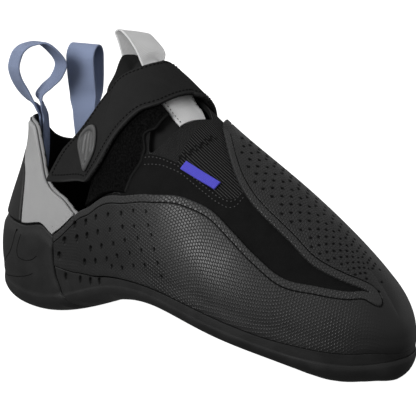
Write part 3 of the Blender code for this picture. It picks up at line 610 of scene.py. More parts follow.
def hexagons(u, v):
    """Distance from the middle of a hexagon, 0 to 0.5 at its edge: the nearer of two lattices
    half a cell apart, measured to the flat sides."""
    root = 3 ** 0.5
    ax, ay = u % 1.0 - 0.5, v % root - root / 2
    bx, by = (u - 0.5) % 1.0 - 0.5, (v - root / 2) % root - root / 2
    first = (ax * ax + ay * ay) < (bx * bx + by * by)
    x = abs(bx + (ax - bx) * first)
    y = abs(by + (ay - by) * first)
    return x.most(x * 0.5 + y * (root / 2))


def cell_rubber():
    """Moulded rubber with small hexagon cells: domed cells as bump with dark gaps, larger and
    paler on the border strip, painted shade near black in the moulded line and the pits, and a dusty
    mottle."""
    f = Finish("cell_rubber", Roughness=0.4, Specular_IOR_Level=0.5)
    u, v = f.chart()
    edge = hexagons(v / CELL, u / CELL)
    dome = f.ramp(edge, 0.5, 0.3)
    cells = f.field("cells")
    grain = f.noise(0.0006, 2)
    dust = f.noise(0.014, 4)
    light = dome * cells * 0.35 + dust * 0.4 + grain * 0.2
    base = f.blend(light, grey(2), grey(36))
    f.paint("Base Color", f.blend(f.field("border") * 0.5, base, grey(50)))
    f.paint("Roughness", f.ramp(dust, 0.3, 0.7, 0.34, 0.44) + (1 - dome) * cells * 0.2)
    # Painted shade: near black without reflection in the moulded line and the pits.
    f.paint_shade(f.field("shade"))
    f.relief(dome * cells * 0.85 + grain * 0.15, 0.13 * MM)
    return f.material


def smooth_rubber():
    """Plain moulded rubber: fine grain and rougher scuffs, with painted shade where its shade field
    is set.
    """
    f = Finish("smooth_rubber", Roughness=0.45, Specular_IOR_Level=0.3)
    grain = f.noise(GRAIN, 3)
    dust = f.noise(0.010, 4)
    base = f.blend(dust * 0.6 + grain * 0.3, grey(18), grey(46))
    f.paint("Base Color", base)
    f.paint("Roughness", f.ramp(dust, 0.3, 0.7, 0.42, 0.6))
    # Painted shade: near black without reflection wherever the shade field is set.
    f.paint_shade(f.field("shade"))
    f.relief(grain, 0.08 * MM)
    return f.material


def suede(name, dark, pale):
    """Napped synthetic: soft fine grain and a larger mottle painted as the sheen of the nap's
    direction, a paler cut rim painted as a highlight, and curly loop pile where it is marked as an
    under face."""
    f = Finish(name, Roughness=0.9, Specular_IOR_Level=0.08, Sheen_Weight=0.02)
    nap = f.noise(FINE_GRAIN, 3, 0.7)
    nap_sheen = f.noise(0.006, 3)
    curl = f.noise(CURL, 4, 0.7)
    under = f.field("under")
    # The larger mottle is the nap's sheen, painted into the colour.
    base = f.blend(nap * 0.6 + nap_sheen * 0.4, dark, pale)
    # The paler rim is a painted highlight along the cut edge.
    base = f.blend(f.field("rim") * 0.6, base, grey(62))
    loops = f.blend(f.ramp(curl, 0.38, 0.68), grey(2), grey(40))
    f.paint("Base Color", f.blend(under, base, loops))
    f.relief(nap * 0.2 + (curl - nap * 0.2) * under, 0.7 * MM)
    return f.material


def knit():
    """Stretch knit: dark, with thin pale ribs along the rim, broken into small loops, and a grey
    bound edge at the collar."""
    f = Finish("stretch_knit", Roughness=0.85, Specular_IOR_Level=0.1, Sheen_Weight=0.02)
    u, v = f.chart()
    rib = f.ramp(abs((v * (np.pi / RIB)).sine()), 0.75, 0.98)
    loops = f.ramp(abs((u * (np.pi / LOOP_PITCH) + v * 1.5).sine()), 0.25, 0.75)
    grain = f.noise(GRAIN, 2)
    height = rib * (loops * 0.75 + 0.25) * f.field("ribs")
    base = f.blend(height + grain * 0.12, grey(3), grey(76))
    f.paint("Base Color", f.blend(f.field("collar"), base, grey(150)))
    f.relief(height * 0.85 + grain * 0.15, 0.3 * MM)
    return f.material


def grey_cloth():
    """Matte grey synthetic; its cut edge is painted paler, a painted highlight along the edge."""
    f = Finish("grey_cloth", Roughness=0.75, Specular_IOR_Level=0.35)
    grain = f.noise(FINE_GRAIN, 3, 0.65)
    cloud = f.noise(0.008, 3)
    base = f.blend(grain * 0.45 + cloud * 0.55, grey(148), grey(170))
    f.paint("Base Color", f.blend(f.field("cut"), base, grey(170)))
    f.relief(grain, 0.12 * MM)
    return f.material


def pile():
    """Loop pile: near black, rough and curly."""
    f = Finish("loop_pile", Roughness=0.95, Specular_IOR_Level=0.04)
    curl = f.noise(CURL, 4, 0.7)
    base = f.blend(f.ramp(curl, 0.35, 0.7), grey(1), grey(22))
    f.paint("Base Color", f.blend(f.field("cut"), base, grey(48)))
    f.relief(curl, 0.7 * MM)
    return f.material


def webbing(name, dark, pale, rib):
    """Woven webbing: ribs across its length, each broken into yarns."""
    f = Finish(name, Roughness=0.7, Specular_IOR_Level=0.2, Sheen_Weight=0.04)
    u, v = f.chart()
    ribs = abs((u * (np.pi / rib)).sine())
    yarns = abs((v * (np.pi / YARN) + u * 1.2).sine())
    grain = f.noise(FINE_GRAIN, 2)
    height = ribs * 0.55 + yarns * 0.3 + grain * 0.15
    f.paint("Base Color", f.blend(f.ramp(height, 0.15, 0.85), dark, pale))
    f.relief(height, 0.2 * MM)
    return f.material


def grained(name, roughness, gloss, dark, pale, depth, *noise):
    """Plain material with one grain that both mottles its colour and raises its surface."""
    f = Finish(name, Roughness=roughness, Specular_IOR_Level=gloss)
    grain = f.noise(*noise)
    f.paint("Base Color", f.blend(grain, dark, pale))
    f.relief(grain, depth)
    return f.material


def thread(name, dark, pale):
    """Sewing thread: matte, with a fine mottle."""
    return grained(name, 0.8, 0.15, dark, pale, 0.08 * MM, FINE_GRAIN, 2)


CELL_RUBBER = cell_rubber()
# Dark thread, also used as painted shade for the heel cup's moulded lines.
DARK_THREAD_AND_LINE_SHADE = thread("dark_thread_and_line_shade", grey(1), grey(14))
PALE_THREAD = thread("pale_thread", grey(58), grey(96))
SMOOTH_RUBBER = smooth_rubber()
QUARTER_SUEDE = suede("quarter_suede", grey(0), grey(32))
STRAP_SUEDE = suede("strap_suede", grey(24), grey(44))
KNIT = knit()
GREY_CLOTH = grey_cloth()
PILE = pile()
BLUE_WEBBING = webbing("blue_webbing", colour(102, 114, 143), colour(158, 171, 202), 0.5)
PALE_TAPE = webbing("pale_tape", grey(205), grey(234), 0.6)
TAG_CLOTH = webbing("tag_cloth", colour(56, 52, 158), colour(98, 94, 228), 0.5)
BADGE_PLASTIC = grained("badge_plastic", 0.45, 0.5, grey(62), grey(84), 0.05 * MM, GRAIN, 2)
FELT_BOARD = grained("felt_board", 0.95, 0.2, grey(30), colour(66, 65, 63), 0.2 * MM,
                     1.2 * MM, 4, 0.7)


# Rubber

GROOVE_IN = 3.75 * MM
GROOVE_HALF = 0.2 * MM
GROOVE_DEEP = 0.55 * MM
BORDER_FADE = 0.4 * MM
NEAR_EDGE = np.array([0, 0.08, 0.2, 0.4, 0.7, 1.1, 1.6, 2.2, 2.8, 3.2, 3.45, 3.6, 3.75, 3.9,
                      4.05, 4.3, 4.8]) * MM
FAR_EDGE = 1 - np.array([0.008, 0.003, 0.001, 0])
NARROW = 12 * MM
NO_EDGE = 1.0
LIP = 0.6 * MM
REAR_LIP = 1.4 * MM
FOOT_LIP = 0.06 * MM
FOOT_SWELL = 0.5 * MM
FOOT_REACH = 6 * MM
SLOT_REACH = 9 * MM
THIN = 0.35
THIN_RUN = 0.5
PATCH_CELLS = 1.7
WING_ROWS, PATCH_ROWS, INNER_ROWS = 90, 58, 110
REAR = 3.4
REAR_LENGTH = 24 * MM
REAR_FADE = 1.5
JOIN_CLEARANCE = 0.012
BAND_CLEARANCE = 0.004
SLOT_ZONE = (11.5, 12.3)
ALONG_REAR = np.concatenate([REAR + EDGE_STEPS * 1.6 * MM / REAR_LENGTH,
                             np.arange(3.5, PATCH_REAR, 0.018)])
ALONG_TOE = np.concatenate([np.arange(*SLOT_ZONE, 0.022), np.linspace(SLOT_ZONE[1], TOE, 22)])
ALONG_FRONT = np.concatenate([np.arange(PATCH_REAR, SLOT_ZONE[0], 0.035), ALONG_TOE])
ALONG_PATCH = np.concatenate([np.arange(PATCH_REAR, SLOT_ZONE[0], 0.026), ALONG_TOE])
ALONG_SOLE = np.concatenate([ALONG_REAR, ALONG_FRONT])
EVERY_SECOND = np.unique(np.append(np.arange(0, len(ALONG_SOLE), 2), len(ALONG_SOLE) - 1))
ALONG_COARSE = ALONG_SOLE[EVERY_SECOND]
SOLE_SHARES = [-1, -0.45, -0.15, 0, 0.06, 0.36]
SOLE_DEPTHS = [0.0046, 0.0046, 0.0039, 0.0029, 0.0024, 0.0018]


def sole_depth(shares):
    """Rubber thickness from the middle of the bottom to the top of the side band."""
    return np.interp(shares, SOLE_SHARES, SOLE_DEPTHS)


def with_rear(stations, shares):
    """Stations whose rear end follows the join with the heel cup, fading out further forward."""
    start = stations[0]
    fade = np.clip(1 - (stations - start) / REAR_FADE, 0, 1)[:, None]
    return stations[:, None] + fade * (follow(HEEL_JOIN, shares) + JOIN_CLEARANCE - start)


def groove(distance):
    """Depth of the moulded line at its distance from the slot's edge."""
    return GROOVE_DEEP * bell(distance - GROOVE_IN, GROOVE_HALF)


PIT_SHADE = 0.8
FLOOR_SHADE = 0.15
DOT_SIZES = (1.3 * MM, 1.0 * MM)


def pits(points, places, tall, wide, deep, side):
    """Depth and painted shade of moulded pits at (station, share) places. Each is an upright oval
    whose floor falls to a steep wall at its rear and upper side; that wall is painted dark as
    shade, and the floor a little, so that a large pit reads as a crescent; one the size of a
    dot is painted dark all over as shade."""
    station, share = places
    centre = skin(station, side, share)
    along = skin(station + 0.02, side, share) - centre
    up = skin(station, side, share + 0.01) - centre
    normal = unit(np.cross(along, up))
    up = unit(np.array([0, 0, 1.0]) - normal * normal[:, 2:])
    along = unit(along - up * np.sum(along * up, -1, keepdims=True))
    depth, shade = np.zeros(points.shape[:-1]), np.zeros(points.shape[:-1])
    for middle, ahead, above, a, b, d in zip(centre, along, up, tall, wide, deep):
        x, y = (points - middle) @ ahead / b, (points - middle) @ above / a
        far = np.hypot(x, y)
        wall = np.clip(0.5 - 0.5 * x + 0.15 * y, 0, 1)
        depth = np.maximum(depth, d * smoothstep(1.0, 0.6, far) * wall)
        # The crescent on the rear and upper wall, and the floor, are painted shade.
        crescent = smoothstep(0.42, 0.6, wall) * smoothstep(0.2, 0.55, far)
        dark = FLOOR_SHADE + (1 - FLOOR_SHADE) * crescent
        dark = np.maximum(dark, smoothstep(*DOT_SIZES, a))
        shade = np.maximum(shade, PIT_SHADE * smoothstep(1.2, 0.85, far) * dark)
    return depth, shade


# Pits of the wing and of the band below it, as (station, share), row by row from the top
WING_PITS = np.array([
    (4.14, 0.275), (4.54, 0.250), (4.94, 0.245), (5.44, 0.250), (5.92, 0.275), (6.30, 0.310),
    (6.66, 0.340), (3.80, 0.230), (4.22, 0.210), (4.60, 0.195), (5.04, 0.190), (5.54, 0.200),
    (6.00, 0.230), (6.38, 0.255), (6.78, 0.295), (4.74, 0.140), (5.20, 0.140), (5.68, 0.155),
    (6.10, 0.185), (6.52, 0.220), (6.90, 0.265), (3.62, 0.170), (4.48, 0.100), (4.92, 0.090),
    (5.40, 0.095), (5.82, 0.115), (6.28, 0.145), (6.66, 0.180), (7.02, 0.215), (5.60, 0.070),
    (6.00, 0.075), (6.42, 0.100), (6.78, 0.125), (7.14, 0.165), (7.26, 0.115)]).T
BAND_PITS = np.array([(3.80, 0.070), (4.30, 0.040), (4.70, 0.024), (5.08, 0.018)]).T


BAND_PIT_SIZES = np.array([[2.0], [1.8], [0.9]]) * MM
DOT_COLUMNS, DOT_ROWS = 24, 9
DOT_START, DOT_STEP, DOT_SHIFT = 7.62, 0.215, 0.107
DOT_TOP = {LATERAL: 0.98, MEDIAL: 0.95}
DOT_DROP = 0.05
DOT_INSET = 0.095
INNER_DOTS = 0.8


def wing_pits(points, side):
    """Crescents near the heel that shrink to dots towards the ball."""
    far = smoothstep(3.8, 6.7, WING_PITS[0])
    return pits(points, WING_PITS, (2.1 - 1.3 * far) * MM, (1.9 - 1.15 * far) * MM,
                (0.9 - 0.3 * far) * MM, side)


def patch_pits(points, side):
    """Crossing rows of small pits over the toe patch, inside its moulded line on the outer side
    and in a few rows on the inner side, wider apart at the toe."""
    column, row = np.meshgrid(np.arange(DOT_COLUMNS), np.arange(DOT_ROWS))
    station = DOT_START + DOT_STEP * column + DOT_SHIFT * (row % 2)
    share = DOT_TOP[side] - DOT_DROP * row
    low = follow(PATCH_EDGE, station) + DOT_INSET if side == LATERAL else INNER_DOTS
    sparse = (column % 2 == 0) & (row % 3 == 0)
    keep = (share > low) & (station < SLOT_ZONE[1]) & ((station < SLOT_ZONE[0]) | sparse)
    station, share = station[keep], share[keep]
    far = smoothstep(8, SLOT_ZONE[1], station)
    return pits(points, (station, share), (0.75 - 0.2 * far) * MM, (0.85 - 0.25 * far) * MM,
                (0.7 - 0.2 * far) * MM, side)


def wrap_sheet(stations, side, edge, other, count):
    """Shares of one side of the wrap, and their distance from its slot edge: rows at set
    distances from that edge, then even rows to the other edge."""
    scale = share_length(stations, side, edge)[:, None]
    sign = np.sign(other - edge)[:, None]
    room = np.abs(other - edge)[:, None] * scale
    near = NEAR_EDGE * np.minimum(1, room / NARROW)
    rest = np.concatenate([np.linspace(0, 1, count)[1:-1], FAR_EDGE])
    start = edge[:, None] + sign * near / scale
    shares = np.concatenate([start, start[:, -1:] + (other[:, None] - start[:, -1:]) * rest], 1)
    return shares, np.abs(shares - edge[:, None]) * scale


def wrap_lips(along, side, stations, shares, low, free_edge):
    """Round lips of a wrap sheet at its free edge, its rear and its foot, and its swell towards
    the foot."""
    from_rear = (stations - stations[:1]) * REAR_LENGTH
    from_foot = (shares - low[:, None]) * share_length(along, side, low)[:, None]
    lip = rounded(free_edge, LIP) * rounded(from_rear, REAR_LIP) * rounded(from_foot, FOOT_LIP)
    return lip, FOOT_SWELL * smoothstep(FOOT_REACH, 0, from_foot)


def slot_line(stations, from_edge):
    """Moulded line and border strip along the slot's edge and round its end near the toe."""
    from_slot = np.hypot(from_edge, np.clip(stations - SLOT_END, 0, None) * SLOT_REACH)
    return groove(from_slot), smoothstep(GROOVE_IN, GROOVE_IN - BORDER_FADE, from_slot)


def wrap_piece(name, side, stations, shares, lip, thick, line, border, dents, strong=1.0):
    """A wrap sheet: full thickness except at its lips, in the moulded line and in the pits. Its
    cells are weaker near the heel, stronger on the border and fade at the toe."""
    flat = skin(stations, side, shares)
    # Painted shade: the moulded line and the pits' walls are darkened as shade.
    depth, dark = dents(flat, side)
    shade = np.clip(np.maximum(line / GROOVE_DEEP, dark), 0, 1)
    cells = smoothstep(12.9, 10.6, stations) * (1 - 0.45 * smoothstep(6.2, 4.6, stations))
    cells = cells * (strong + 0.6 * border) * (1 - shade)
    overlay(name, (stations, side, shares), WRAP_GAP, lip * (thick - line - depth), side == MEDIAL,
            CELL_RUBBER, "dark_rubber", ["rubber_wrap"], chart=chart_of(flat), shade=shade,
            cells=cells, border=border)


def make_wing():
    """Outer wing of the rubber wrap, from the heel cup to the toe, below the open slot."""
    low = follow(BAND_TOP, ALONG_SOLE) + BAND_CLEARANCE
    top = follow(WING_TOP, ALONG_SOLE)
    shares, from_edge = wrap_sheet(ALONG_SOLE, LATERAL, top, low, WING_ROWS)
    stations = with_rear(ALONG_SOLE, shares)
    lip, swell = wrap_lips(ALONG_SOLE, LATERAL, stations, shares, low,
                           np.where(stations < SLOT_END, from_edge, NO_EDGE))
    wrap_piece("rubber_wrap", LATERAL, stations, shares, lip, RUBBER + swell,
               *slot_line(stations, from_edge), wing_pits)


def make_patch():
    """Toe patch of the wrap, from the slot up to the crest, thin at its rear."""
    edge = np.where(ALONG_PATCH < SLOT_END, follow(PATCH_EDGE, ALONG_PATCH),
                    follow(WING_TOP, ALONG_PATCH))
    shares, from_edge = wrap_sheet(ALONG_PATCH, LATERAL, edge, np.ones_like(edge), PATCH_ROWS)
    stations = ALONG_PATCH[:, None] + 0 * shares
    lip = rounded(np.where(stations < SLOT_END, from_edge, NO_EDGE), LIP)
    full = smoothstep(PATCH_REAR, PATCH_REAR + THIN_RUN, stations)
    wrap_piece("rubber_wrap_patch", LATERAL, stations, shares, lip,
               RUBBER * (THIN + (1 - THIN) * full), *slot_line(stations, from_edge), patch_pits,
               PATCH_CELLS)


def make_wrap_inner():
    """Inner side of the wrap, up to the crest in front, with a moulded line along its free edge
    and no border strip."""
    along = np.concatenate([ALONG_COARSE[ALONG_COARSE < PATCH_REAR], ALONG_FRONT])
    low = follow(BAND_TOP, along) + BAND_CLEARANCE
    shares, from_edge = wrap_sheet(along, MEDIAL, follow(MEDIAL_TOP, along), low, INNER_ROWS)
    stations = with_rear(along, shares)
    lip, swell = wrap_lips(along, MEDIAL, stations, shares, low,
                           np.where(stations < PATCH_REAR, from_edge, NO_EDGE))
    line = groove(from_edge) * smoothstep(PATCH_REAR + 0.2, PATCH_REAR - 0.3, stations)
    full = smoothstep(PATCH_REAR, PATCH_REAR + THIN_RUN, stations) + smoothstep(1.0, 0.8, shares)
    thick = RUBBER * (THIN + (1 - THIN) * np.clip(full, 0, 1)) + swell
    wrap_piece("rubber_wrap_inner", MEDIAL, stations, shares, lip, thick, line, 0 * line,
               patch_pits)


UNDER = np.concatenate([np.linspace(-1, -0.3, 10), np.linspace(-0.25, 0, 9)])
BAND_CLIMB = 1 - np.array([0.92, 0.83, 0.72, 0.61, 0.5, 0.39, 0.28, 0.18, 0.1, 0.05, 0.02, 0])
COARSE_FROM = 5.4
ONE_SHARE = 60 * MM
CUP_HEIGHT, CUP_LENGTH = 80 * MM, 70 * MM
CUP_CLEARANCE = 0.008
STRIP_HALF, STRIP_HEIGHT = 40 * MM, 34 * MM


def cradle(top, climb):
    """Sides and shares of rows that run from a top edge on the outer side, down and under the
    bottom, and up to the top edge on the inner side."""
    under = np.repeat(np.concatenate([UNDER[::-1], UNDER[1:]])[None], len(top), 0)
    half = len(climb) + len(UNDER)
    sides = np.repeat([LATERAL, MEDIAL], [half, half - 1])
    return sides, np.concatenate([top * climb[::-1], under, top * climb], 1)


def make_outsole():
    """Arch and forefoot sole with its side band, a round top edge and four pits in the band near
    the heel, flat where it meets the floor."""
    along = np.concatenate([ALONG_SOLE[ALONG_SOLE < COARSE_FROM],
                            ALONG_COARSE[ALONG_COARSE >= COARSE_FROM]])
    band = follow(BAND_TOP, along)[:, None]
    sides, shares = cradle(band, BAND_CLIMB)
    stations = with_rear(along, shares)
    from_top = (band - shares) * ONE_SHARE
    from_rear = (stations - stations[:1]) * REAR_LENGTH
    lip = rounded(from_top, FOOT_LIP) * rounded(from_rear, 2.0 * MM)
    sizes = np.broadcast_to(BAND_PIT_SIZES, (3, len(BAND_PITS[0])))
    depth, dark = pits(skin(stations, sides, shares), BAND_PITS, *sizes, LATERAL)
    # Painted shade along the band's top edge, where it meets the wing, and in the band's pits.
    shade = np.maximum(smoothstep(0.2 * MM, 0, from_top) * 0.4, dark)
    overlay("outsole", (stations, sides, shares), GAP, sole_depth(shares) * lip - depth, True,
            SMOOTH_RUBBER, "dark_rubber", ["outsole"], shade=shade)


def make_heel_cup():
    """Rubber heel: bottom with the rear flat spot, and sides up to the cup's round edge, thinner
    towards that edge and towards the front."""
    steps = np.concatenate([np.linspace(0, 0.94, 90), 1 - EDGE_STEPS[::-1] * 0.02])[:, None]
    climb = np.concatenate([np.linspace(0, 0.93, 26)[1:], 1 - EDGE_STEPS[::-1] * 0.045])
    top = follow(CUP_TOP, steps * WING_REAR)
    sides, shares = cradle(top, climb)
    stations = steps * (follow(HEEL_JOIN, shares) - CUP_CLEARANCE)
    from_top = (top - shares) * CUP_HEIGHT
    from_front = (1 - steps) * CUP_LENGTH
    lip = rounded(from_top, 1.0 * MM) * rounded(from_front, 0.8 * MM)
    lip = lip * (1 - 0.35 * smoothstep(2.6 * MM, 0.6 * MM, from_front))
    lip = lip * (1 - 0.5 * smoothstep(5 * MM, 0.4 * MM, from_top))
    # Painted shadow along the cup's front edge, under the wing's raised rear edge.
    overlay("heel_cup", (stations, sides, shares), GAP, sole_depth(shares) * lip, True,
            SMOOTH_RUBBER, "dark_rubber", ["heel_cup"],
            shade=smoothstep(1.2 * MM, 0, from_front) * 0.8)


def make_heel_strip():
    """Rubber strip up the back of the heel, thin at its round edges."""
    rise = edged(30, 0.06, 0.03)[:, None]
    shares = STRIP_EDGE[0][0] + rise * (STRIP_EDGE[-1][0] - STRIP_EDGE[0][0])
    width = edged(50, 0.1, 0.06, -1)
    places = width * follow(STRIP_EDGE, shares)
    lip = rounded((1 - np.abs(width)) * STRIP_HALF, 1.2 * MM)
    lip = lip * rounded(from_ends(rise) * STRIP_HEIGHT, 0.8 * MM)
    sides = np.where(places <= 0, LATERAL, MEDIAL)
    overlay("heel_strip", (np.abs(places), sides, shares), GAP, RUBBER * lip, False,
            SMOOTH_RUBBER, "dark_rubber", ["heel_strip"])


# Upper and its overlays

UPPER_MARGIN = np.array([-0.6, -0.45, -0.3, -0.17, -0.08])
NEAR_RIM = np.array([2.4, 1.6, 1.0, 0.6, 0.3, 0.1, 0]) * MM
QUARTER_ENDS = (5.7, 12.15)
QUARTER_TUCK = 0.025
QUARTER_GAP, QUARTER = 0.15 * MM, 0.7 * MM
PANEL_EDGE = 0.01
PANEL_SIZE = 40 * MM
FLAP_HEIGHT, FLAP_LENGTH = 40 * MM, 30 * MM


def make_upper():
    """Upper: one hollow wall with a round rim, closed over the crest in front of the throat. Its
    collar is bound in grey on the outer side, and its front is ribbed."""
    stations = np.concatenate([np.arange(0, 6, 0.05), np.arange(6, 8.5, 0.025),
                               np.linspace(8.5, TOE, 50)])[:, None]
    margin = np.repeat(UPPER_MARGIN[None], len(stations), 0)
    grids = []
    for side in (LATERAL, MEDIAL):
        rim = follow(RIM[side], stations)
        scale = share_length(stations, side, rim * 0.9)
        near = rim - NEAR_RIM / scale
        body = np.minimum(rim * np.linspace(0, 1, 40)[:-3], near[:, :1] - 0.002)
        shares = np.concatenate([margin, body, near], 1)
        from_rim = np.abs(rim - shares) * scale
        lip = np.where(stations < THROAT, rounded(from_rim, 1.0 * MM), 1.0)
        outer = skin(stations, side, shares, -UPPER_WALL / 2 * (1 - lip))
        inner = skin(stations, side, shares, -UPPER_WALL / 2 * (1 + lip))
        outer[:, 0] = inner[:, 0]
        chart = np.stack([running_length(outer, 0), from_rim / MM], -1)
        collar = smoothstep(4.2, 4.0, stations) * smoothstep(3.6 * MM, 2.6 * MM, from_rim)
        ribs = smoothstep(5.3, 5.5, stations)
        turn = side == MEDIAL
        grids += [Grid(outer, turn, chart, {"collar": collar * (side == LATERAL), "ribs": ribs}),
                  Grid(inner, not turn, chart, {})]
    add_piece("upper", grids, KNIT, ["upper"])


def make_suede_quarter():
    """Suede overlay in the slot between wing and patch, with a round upper edge."""
    first, last = QUARTER_ENDS
    stations = np.linspace(first, last, 220)[:, None]
    high = follow(SUEDE_EDGE, stations)
    low = np.minimum(follow(WING_TOP, stations), high) - QUARTER_TUCK
    rise = np.concatenate([np.linspace(0, 0.94, 34), 1 - EDGE_STEPS[::-1] * 0.05])
    shares = low + (high - low) * rise
    lip = rounded((high - shares) * ONE_SHARE, 0.7 * MM) * rounded(shares - low, 0.01)
    lip = lip * rounded(np.minimum(stations - first, last - stations), 0.03)
    overlay("suede_quarter", (stations, LATERAL, shares), QUARTER_GAP, QUARTER * lip, False,
            QUARTER_SUEDE, "black_suede")


def panel_places(side, spine, run):
    """Stations and shares of a heel panel: its rear edge keeps the shares of the spine rows, and
    the rows spread evenly between cup or wing and rim to the front tip."""
    rear = follow(PANEL_REAR[side], spine)
    stations = rear + (PANEL_TIP - rear) * run
    floor = np.where(stations < WING_REAR, follow(CUP_TOP, stations), follow(WING_TOP, stations))
    floor = floor + PANEL_EDGE
    rim = follow(RIM[side], stations) - PANEL_EDGE
    even = (spine - spine[0]) / (spine[-1] - spine[0])
    at_rear = np.clip((spine - floor[:, :1]) / (rim - floor)[:, :1], 0, 1)
    at_rear[0], at_rear[-1] = 0, 1
    return stations, floor + (rim - floor) * (at_rear + (even - at_rear) * run)


def make_heel_panels():
    """Grey collar panel on each side of the heel, with a painted highlight along the cut edge at its
    rim.
    """
    run = edged(40, 0.05, 0.02)
    rise = run[:, None]
    lip = rounded(np.minimum(from_ends(rise), from_ends(run)) * PANEL_SIZE, 0.5 * MM)
    # Painted highlight along the panel's cut edge at its rim.
    cut = smoothstep(0.9 * MM, 0.2 * MM, (1 - rise) * PANEL_SIZE)
    for side, name in ((LATERAL, "heel_panel_outer"), (MEDIAL, "heel_panel_inner")):
        low, high = PANEL_REAR[side][0][0], PANEL_REAR[side][-1][0]
        stations, shares = panel_places(side, low + (high - low) * rise, run)
        overlay(name, (stations, side, shares), PANEL_GAP, PANEL * lip, side == LATERAL,
                GREY_CLOTH, "grey_panel", [name], cut=cut)


def make_loop_panel():
    """Fuzzy quarter on the outer side that the strap closes onto, with a pale cut front edge."""
    rise = edged(50, 0.04, 0.02)[:, None]
    run = np.concatenate([EDGE_STEPS * 0.02, np.linspace(0.04, 0.95, 60),
                          1 - EDGE_STEPS[::-1] * 0.03])
    bottom, top = FLAP_REAR[0][0], FLAP_REAR[-1][0]
    height = bottom + rise * (top - bottom)
    rear, front = follow(FLAP_REAR, height), follow(FLAP_FRONT, height)
    stations = rear + (front - rear) * run
    floor = follow(WING_TOP, stations) + PANEL_EDGE
    shares = height + (1 - rise) * (floor - bottom)
    inset = np.minimum(from_ends(rise) * FLAP_HEIGHT, from_ends(run) * FLAP_LENGTH)
    overlay("loop_panel", (stations, LATERAL, shares), GAP,
            LOOP_PANEL * rounded(inset, 0.6 * MM), True, PILE, "loop_pile", ["loop_panel"],
            cut=smoothstep(0.7 * MM, 0.2 * MM, (1 - run) * FLAP_LENGTH))


# Strap, tongue and loops

END_DRAWN = 0.11
STRAP_LAST = len(STRAP_ROWS) - 1
STRAP_WIDE, STRAP_ROW = 34 * MM, 11 * MM
CORNER_RUN, CORNER_CUT = 0.22, 0.09
BADGE_RIBS = 6.0
BADGE_FLOOR = 0.45
TONGUE_WIDE, TONGUE_LONG, TONGUE_TOP = 40 * MM, 60 * MM, 8 * MM
TAPE_HOOPS = (-0.2, 0.12)
TAPE_WIDE, TAPE_LONG = 70 * MM, 34 * MM
TAG_LONG, TAG_HIGH, TAG_STAND = 16 * MM, 4 * MM, 0.5 * MM


def strap_points(rows, columns, extra_lift):
    """Points of the strap's under face: smooth runs along the strap rows, straight across. The
    middle of the free end is drawn back a little, so that its edge looks straight."""
    drawn = END_DRAWN * 4 * columns * (1 - columns)
    rows = rows - drawn * smoothstep(STRAP_LAST - 1, STRAP_LAST, rows)
    rear, rear_hoop, front, front_hoop, lift = follow_columns(
        range(STRAP_LAST + 1), np.array(STRAP_ROWS).T, rows)
    stations = rear + (front - rear) * columns
    hoops = rear_hoop + (front_hoop - rear_hoop) * columns
    return hoop_skin(stations, hoops, lift + extra_lift)


def make_strap():
    """Closing strap: sewn on the inner side, over the instep, down to a free end with round
    corners on the outer side. Its under face is loop pile."""
    rows = np.concatenate([EDGE_STEPS * 0.06, np.linspace(0.1, STRAP_LAST - 0.6, 150),
                           np.linspace(STRAP_LAST - 0.58, STRAP_LAST - 0.06, 30),
                           STRAP_LAST - EDGE_STEPS[::-1] * 0.06])[:, None]
    columns = edged(50, 0.05, 0.03)
    corner = np.clip(1 - (STRAP_LAST - rows) / CORNER_RUN, 0, 1)
    inset = CORNER_CUT * (1 - np.sqrt(np.clip(1 - corner ** 2, 0, 1)))
    across = 0.4 * inset + (1 - 1.4 * inset) * columns
    from_edge = np.minimum(from_ends(columns) * STRAP_WIDE,
                           np.minimum(rows, STRAP_LAST - rows) * STRAP_ROW)
    lip = rounded(from_edge, 0.35 * MM)
    outer = strap_points(rows, across, STRAP / 2 * (1 + lip))
    inner = strap_points(rows, across, STRAP / 2 * (1 - lip))
    # Painted highlight along the strap's cut edges on its front half.
    rim = smoothstep(0.9 * MM, 0.3 * MM, from_edge) * smoothstep(0.2, 0.6, columns)
    add_piece("strap", [Grid(outer, False, chart_of(outer), {"rim": rim}),
                        Grid(inner, True, chart_of(inner), {"under": 1.0})],
              STRAP_SUEDE, ["strap"])


def make_strap_badge():
    """Plain raised pad near the strap's free end, with a raised rim and three soft ribs."""
    turn = np.linspace(0, 2 * np.pi, 129)
    radius = np.concatenate([np.linspace(0, 0.84, 30), 1 - EDGE_STEPS[::-1] * 0.14])[:, None]
    along = radius * np.cos(turn)
    wide = radius * np.sin(turn) * (1 - BADGE_TAPER * np.cos(turn)) / (1 + BADGE_TAPER / 2)
    rows = BADGE_MIDDLE[0] + BADGE_LONG[0] * along + BADGE_WIDE[0] * wide
    columns = BADGE_MIDDLE[1] + BADGE_LONG[1] * along + BADGE_WIDE[1] * wide
    lip = rounded((1 - radius) * 4 * MM, 0.4 * MM)
    ribs = (0.5 + 0.5 * np.cos(wide * BADGE_RIBS * np.pi)) * smoothstep(0.72, 0.6, radius)
    raised = np.maximum(smoothstep(0.72, 0.8, radius), ribs)
    plate = BADGE * lip * (BADGE_FLOOR + (1 - BADGE_FLOOR) * raised)
    outer = strap_points(rows, columns, STRAP + GAP + plate)
    inner = strap_points(rows, columns, STRAP + GAP)
    add_piece("strap_badge", faces_of(outer, inner, False), BADGE_PLASTIC,
              ["strap_badge"])


def tongue_lift(station, hoop):
    """Height of the tongue's outer face: near the form along the open instep's crest, deeper
    under the edges of the collar and under the throat."""
    near_crest = smoothstep(0.26, 0.10, np.abs(hoop))
    return TONGUE_LIFT + TONGUE_RISE * near_crest * smoothstep(6.55, 6.10, station)


def tongue_points(reach, hoop, depth):
    """Points of the tongue. Reach 0 to 1 runs along the form to the front end; below 0 the free
    end stands off the form by an offset for each hoop place."""
    start = follow(TONGUE_START, np.abs(hoop))
    station = start + (TONGUE_END - start) * np.clip(reach, 0, 1)
    hoops, *offsets = np.array(TONGUE_FREE).T
    offset = np.stack(follow_columns(hoops, offsets, hoop), -1)
    points = hoop_skin(station, hoop, tongue_lift(station, hoop) - depth)
    return points + np.clip(-reach, 0, 1)[..., None] * offset


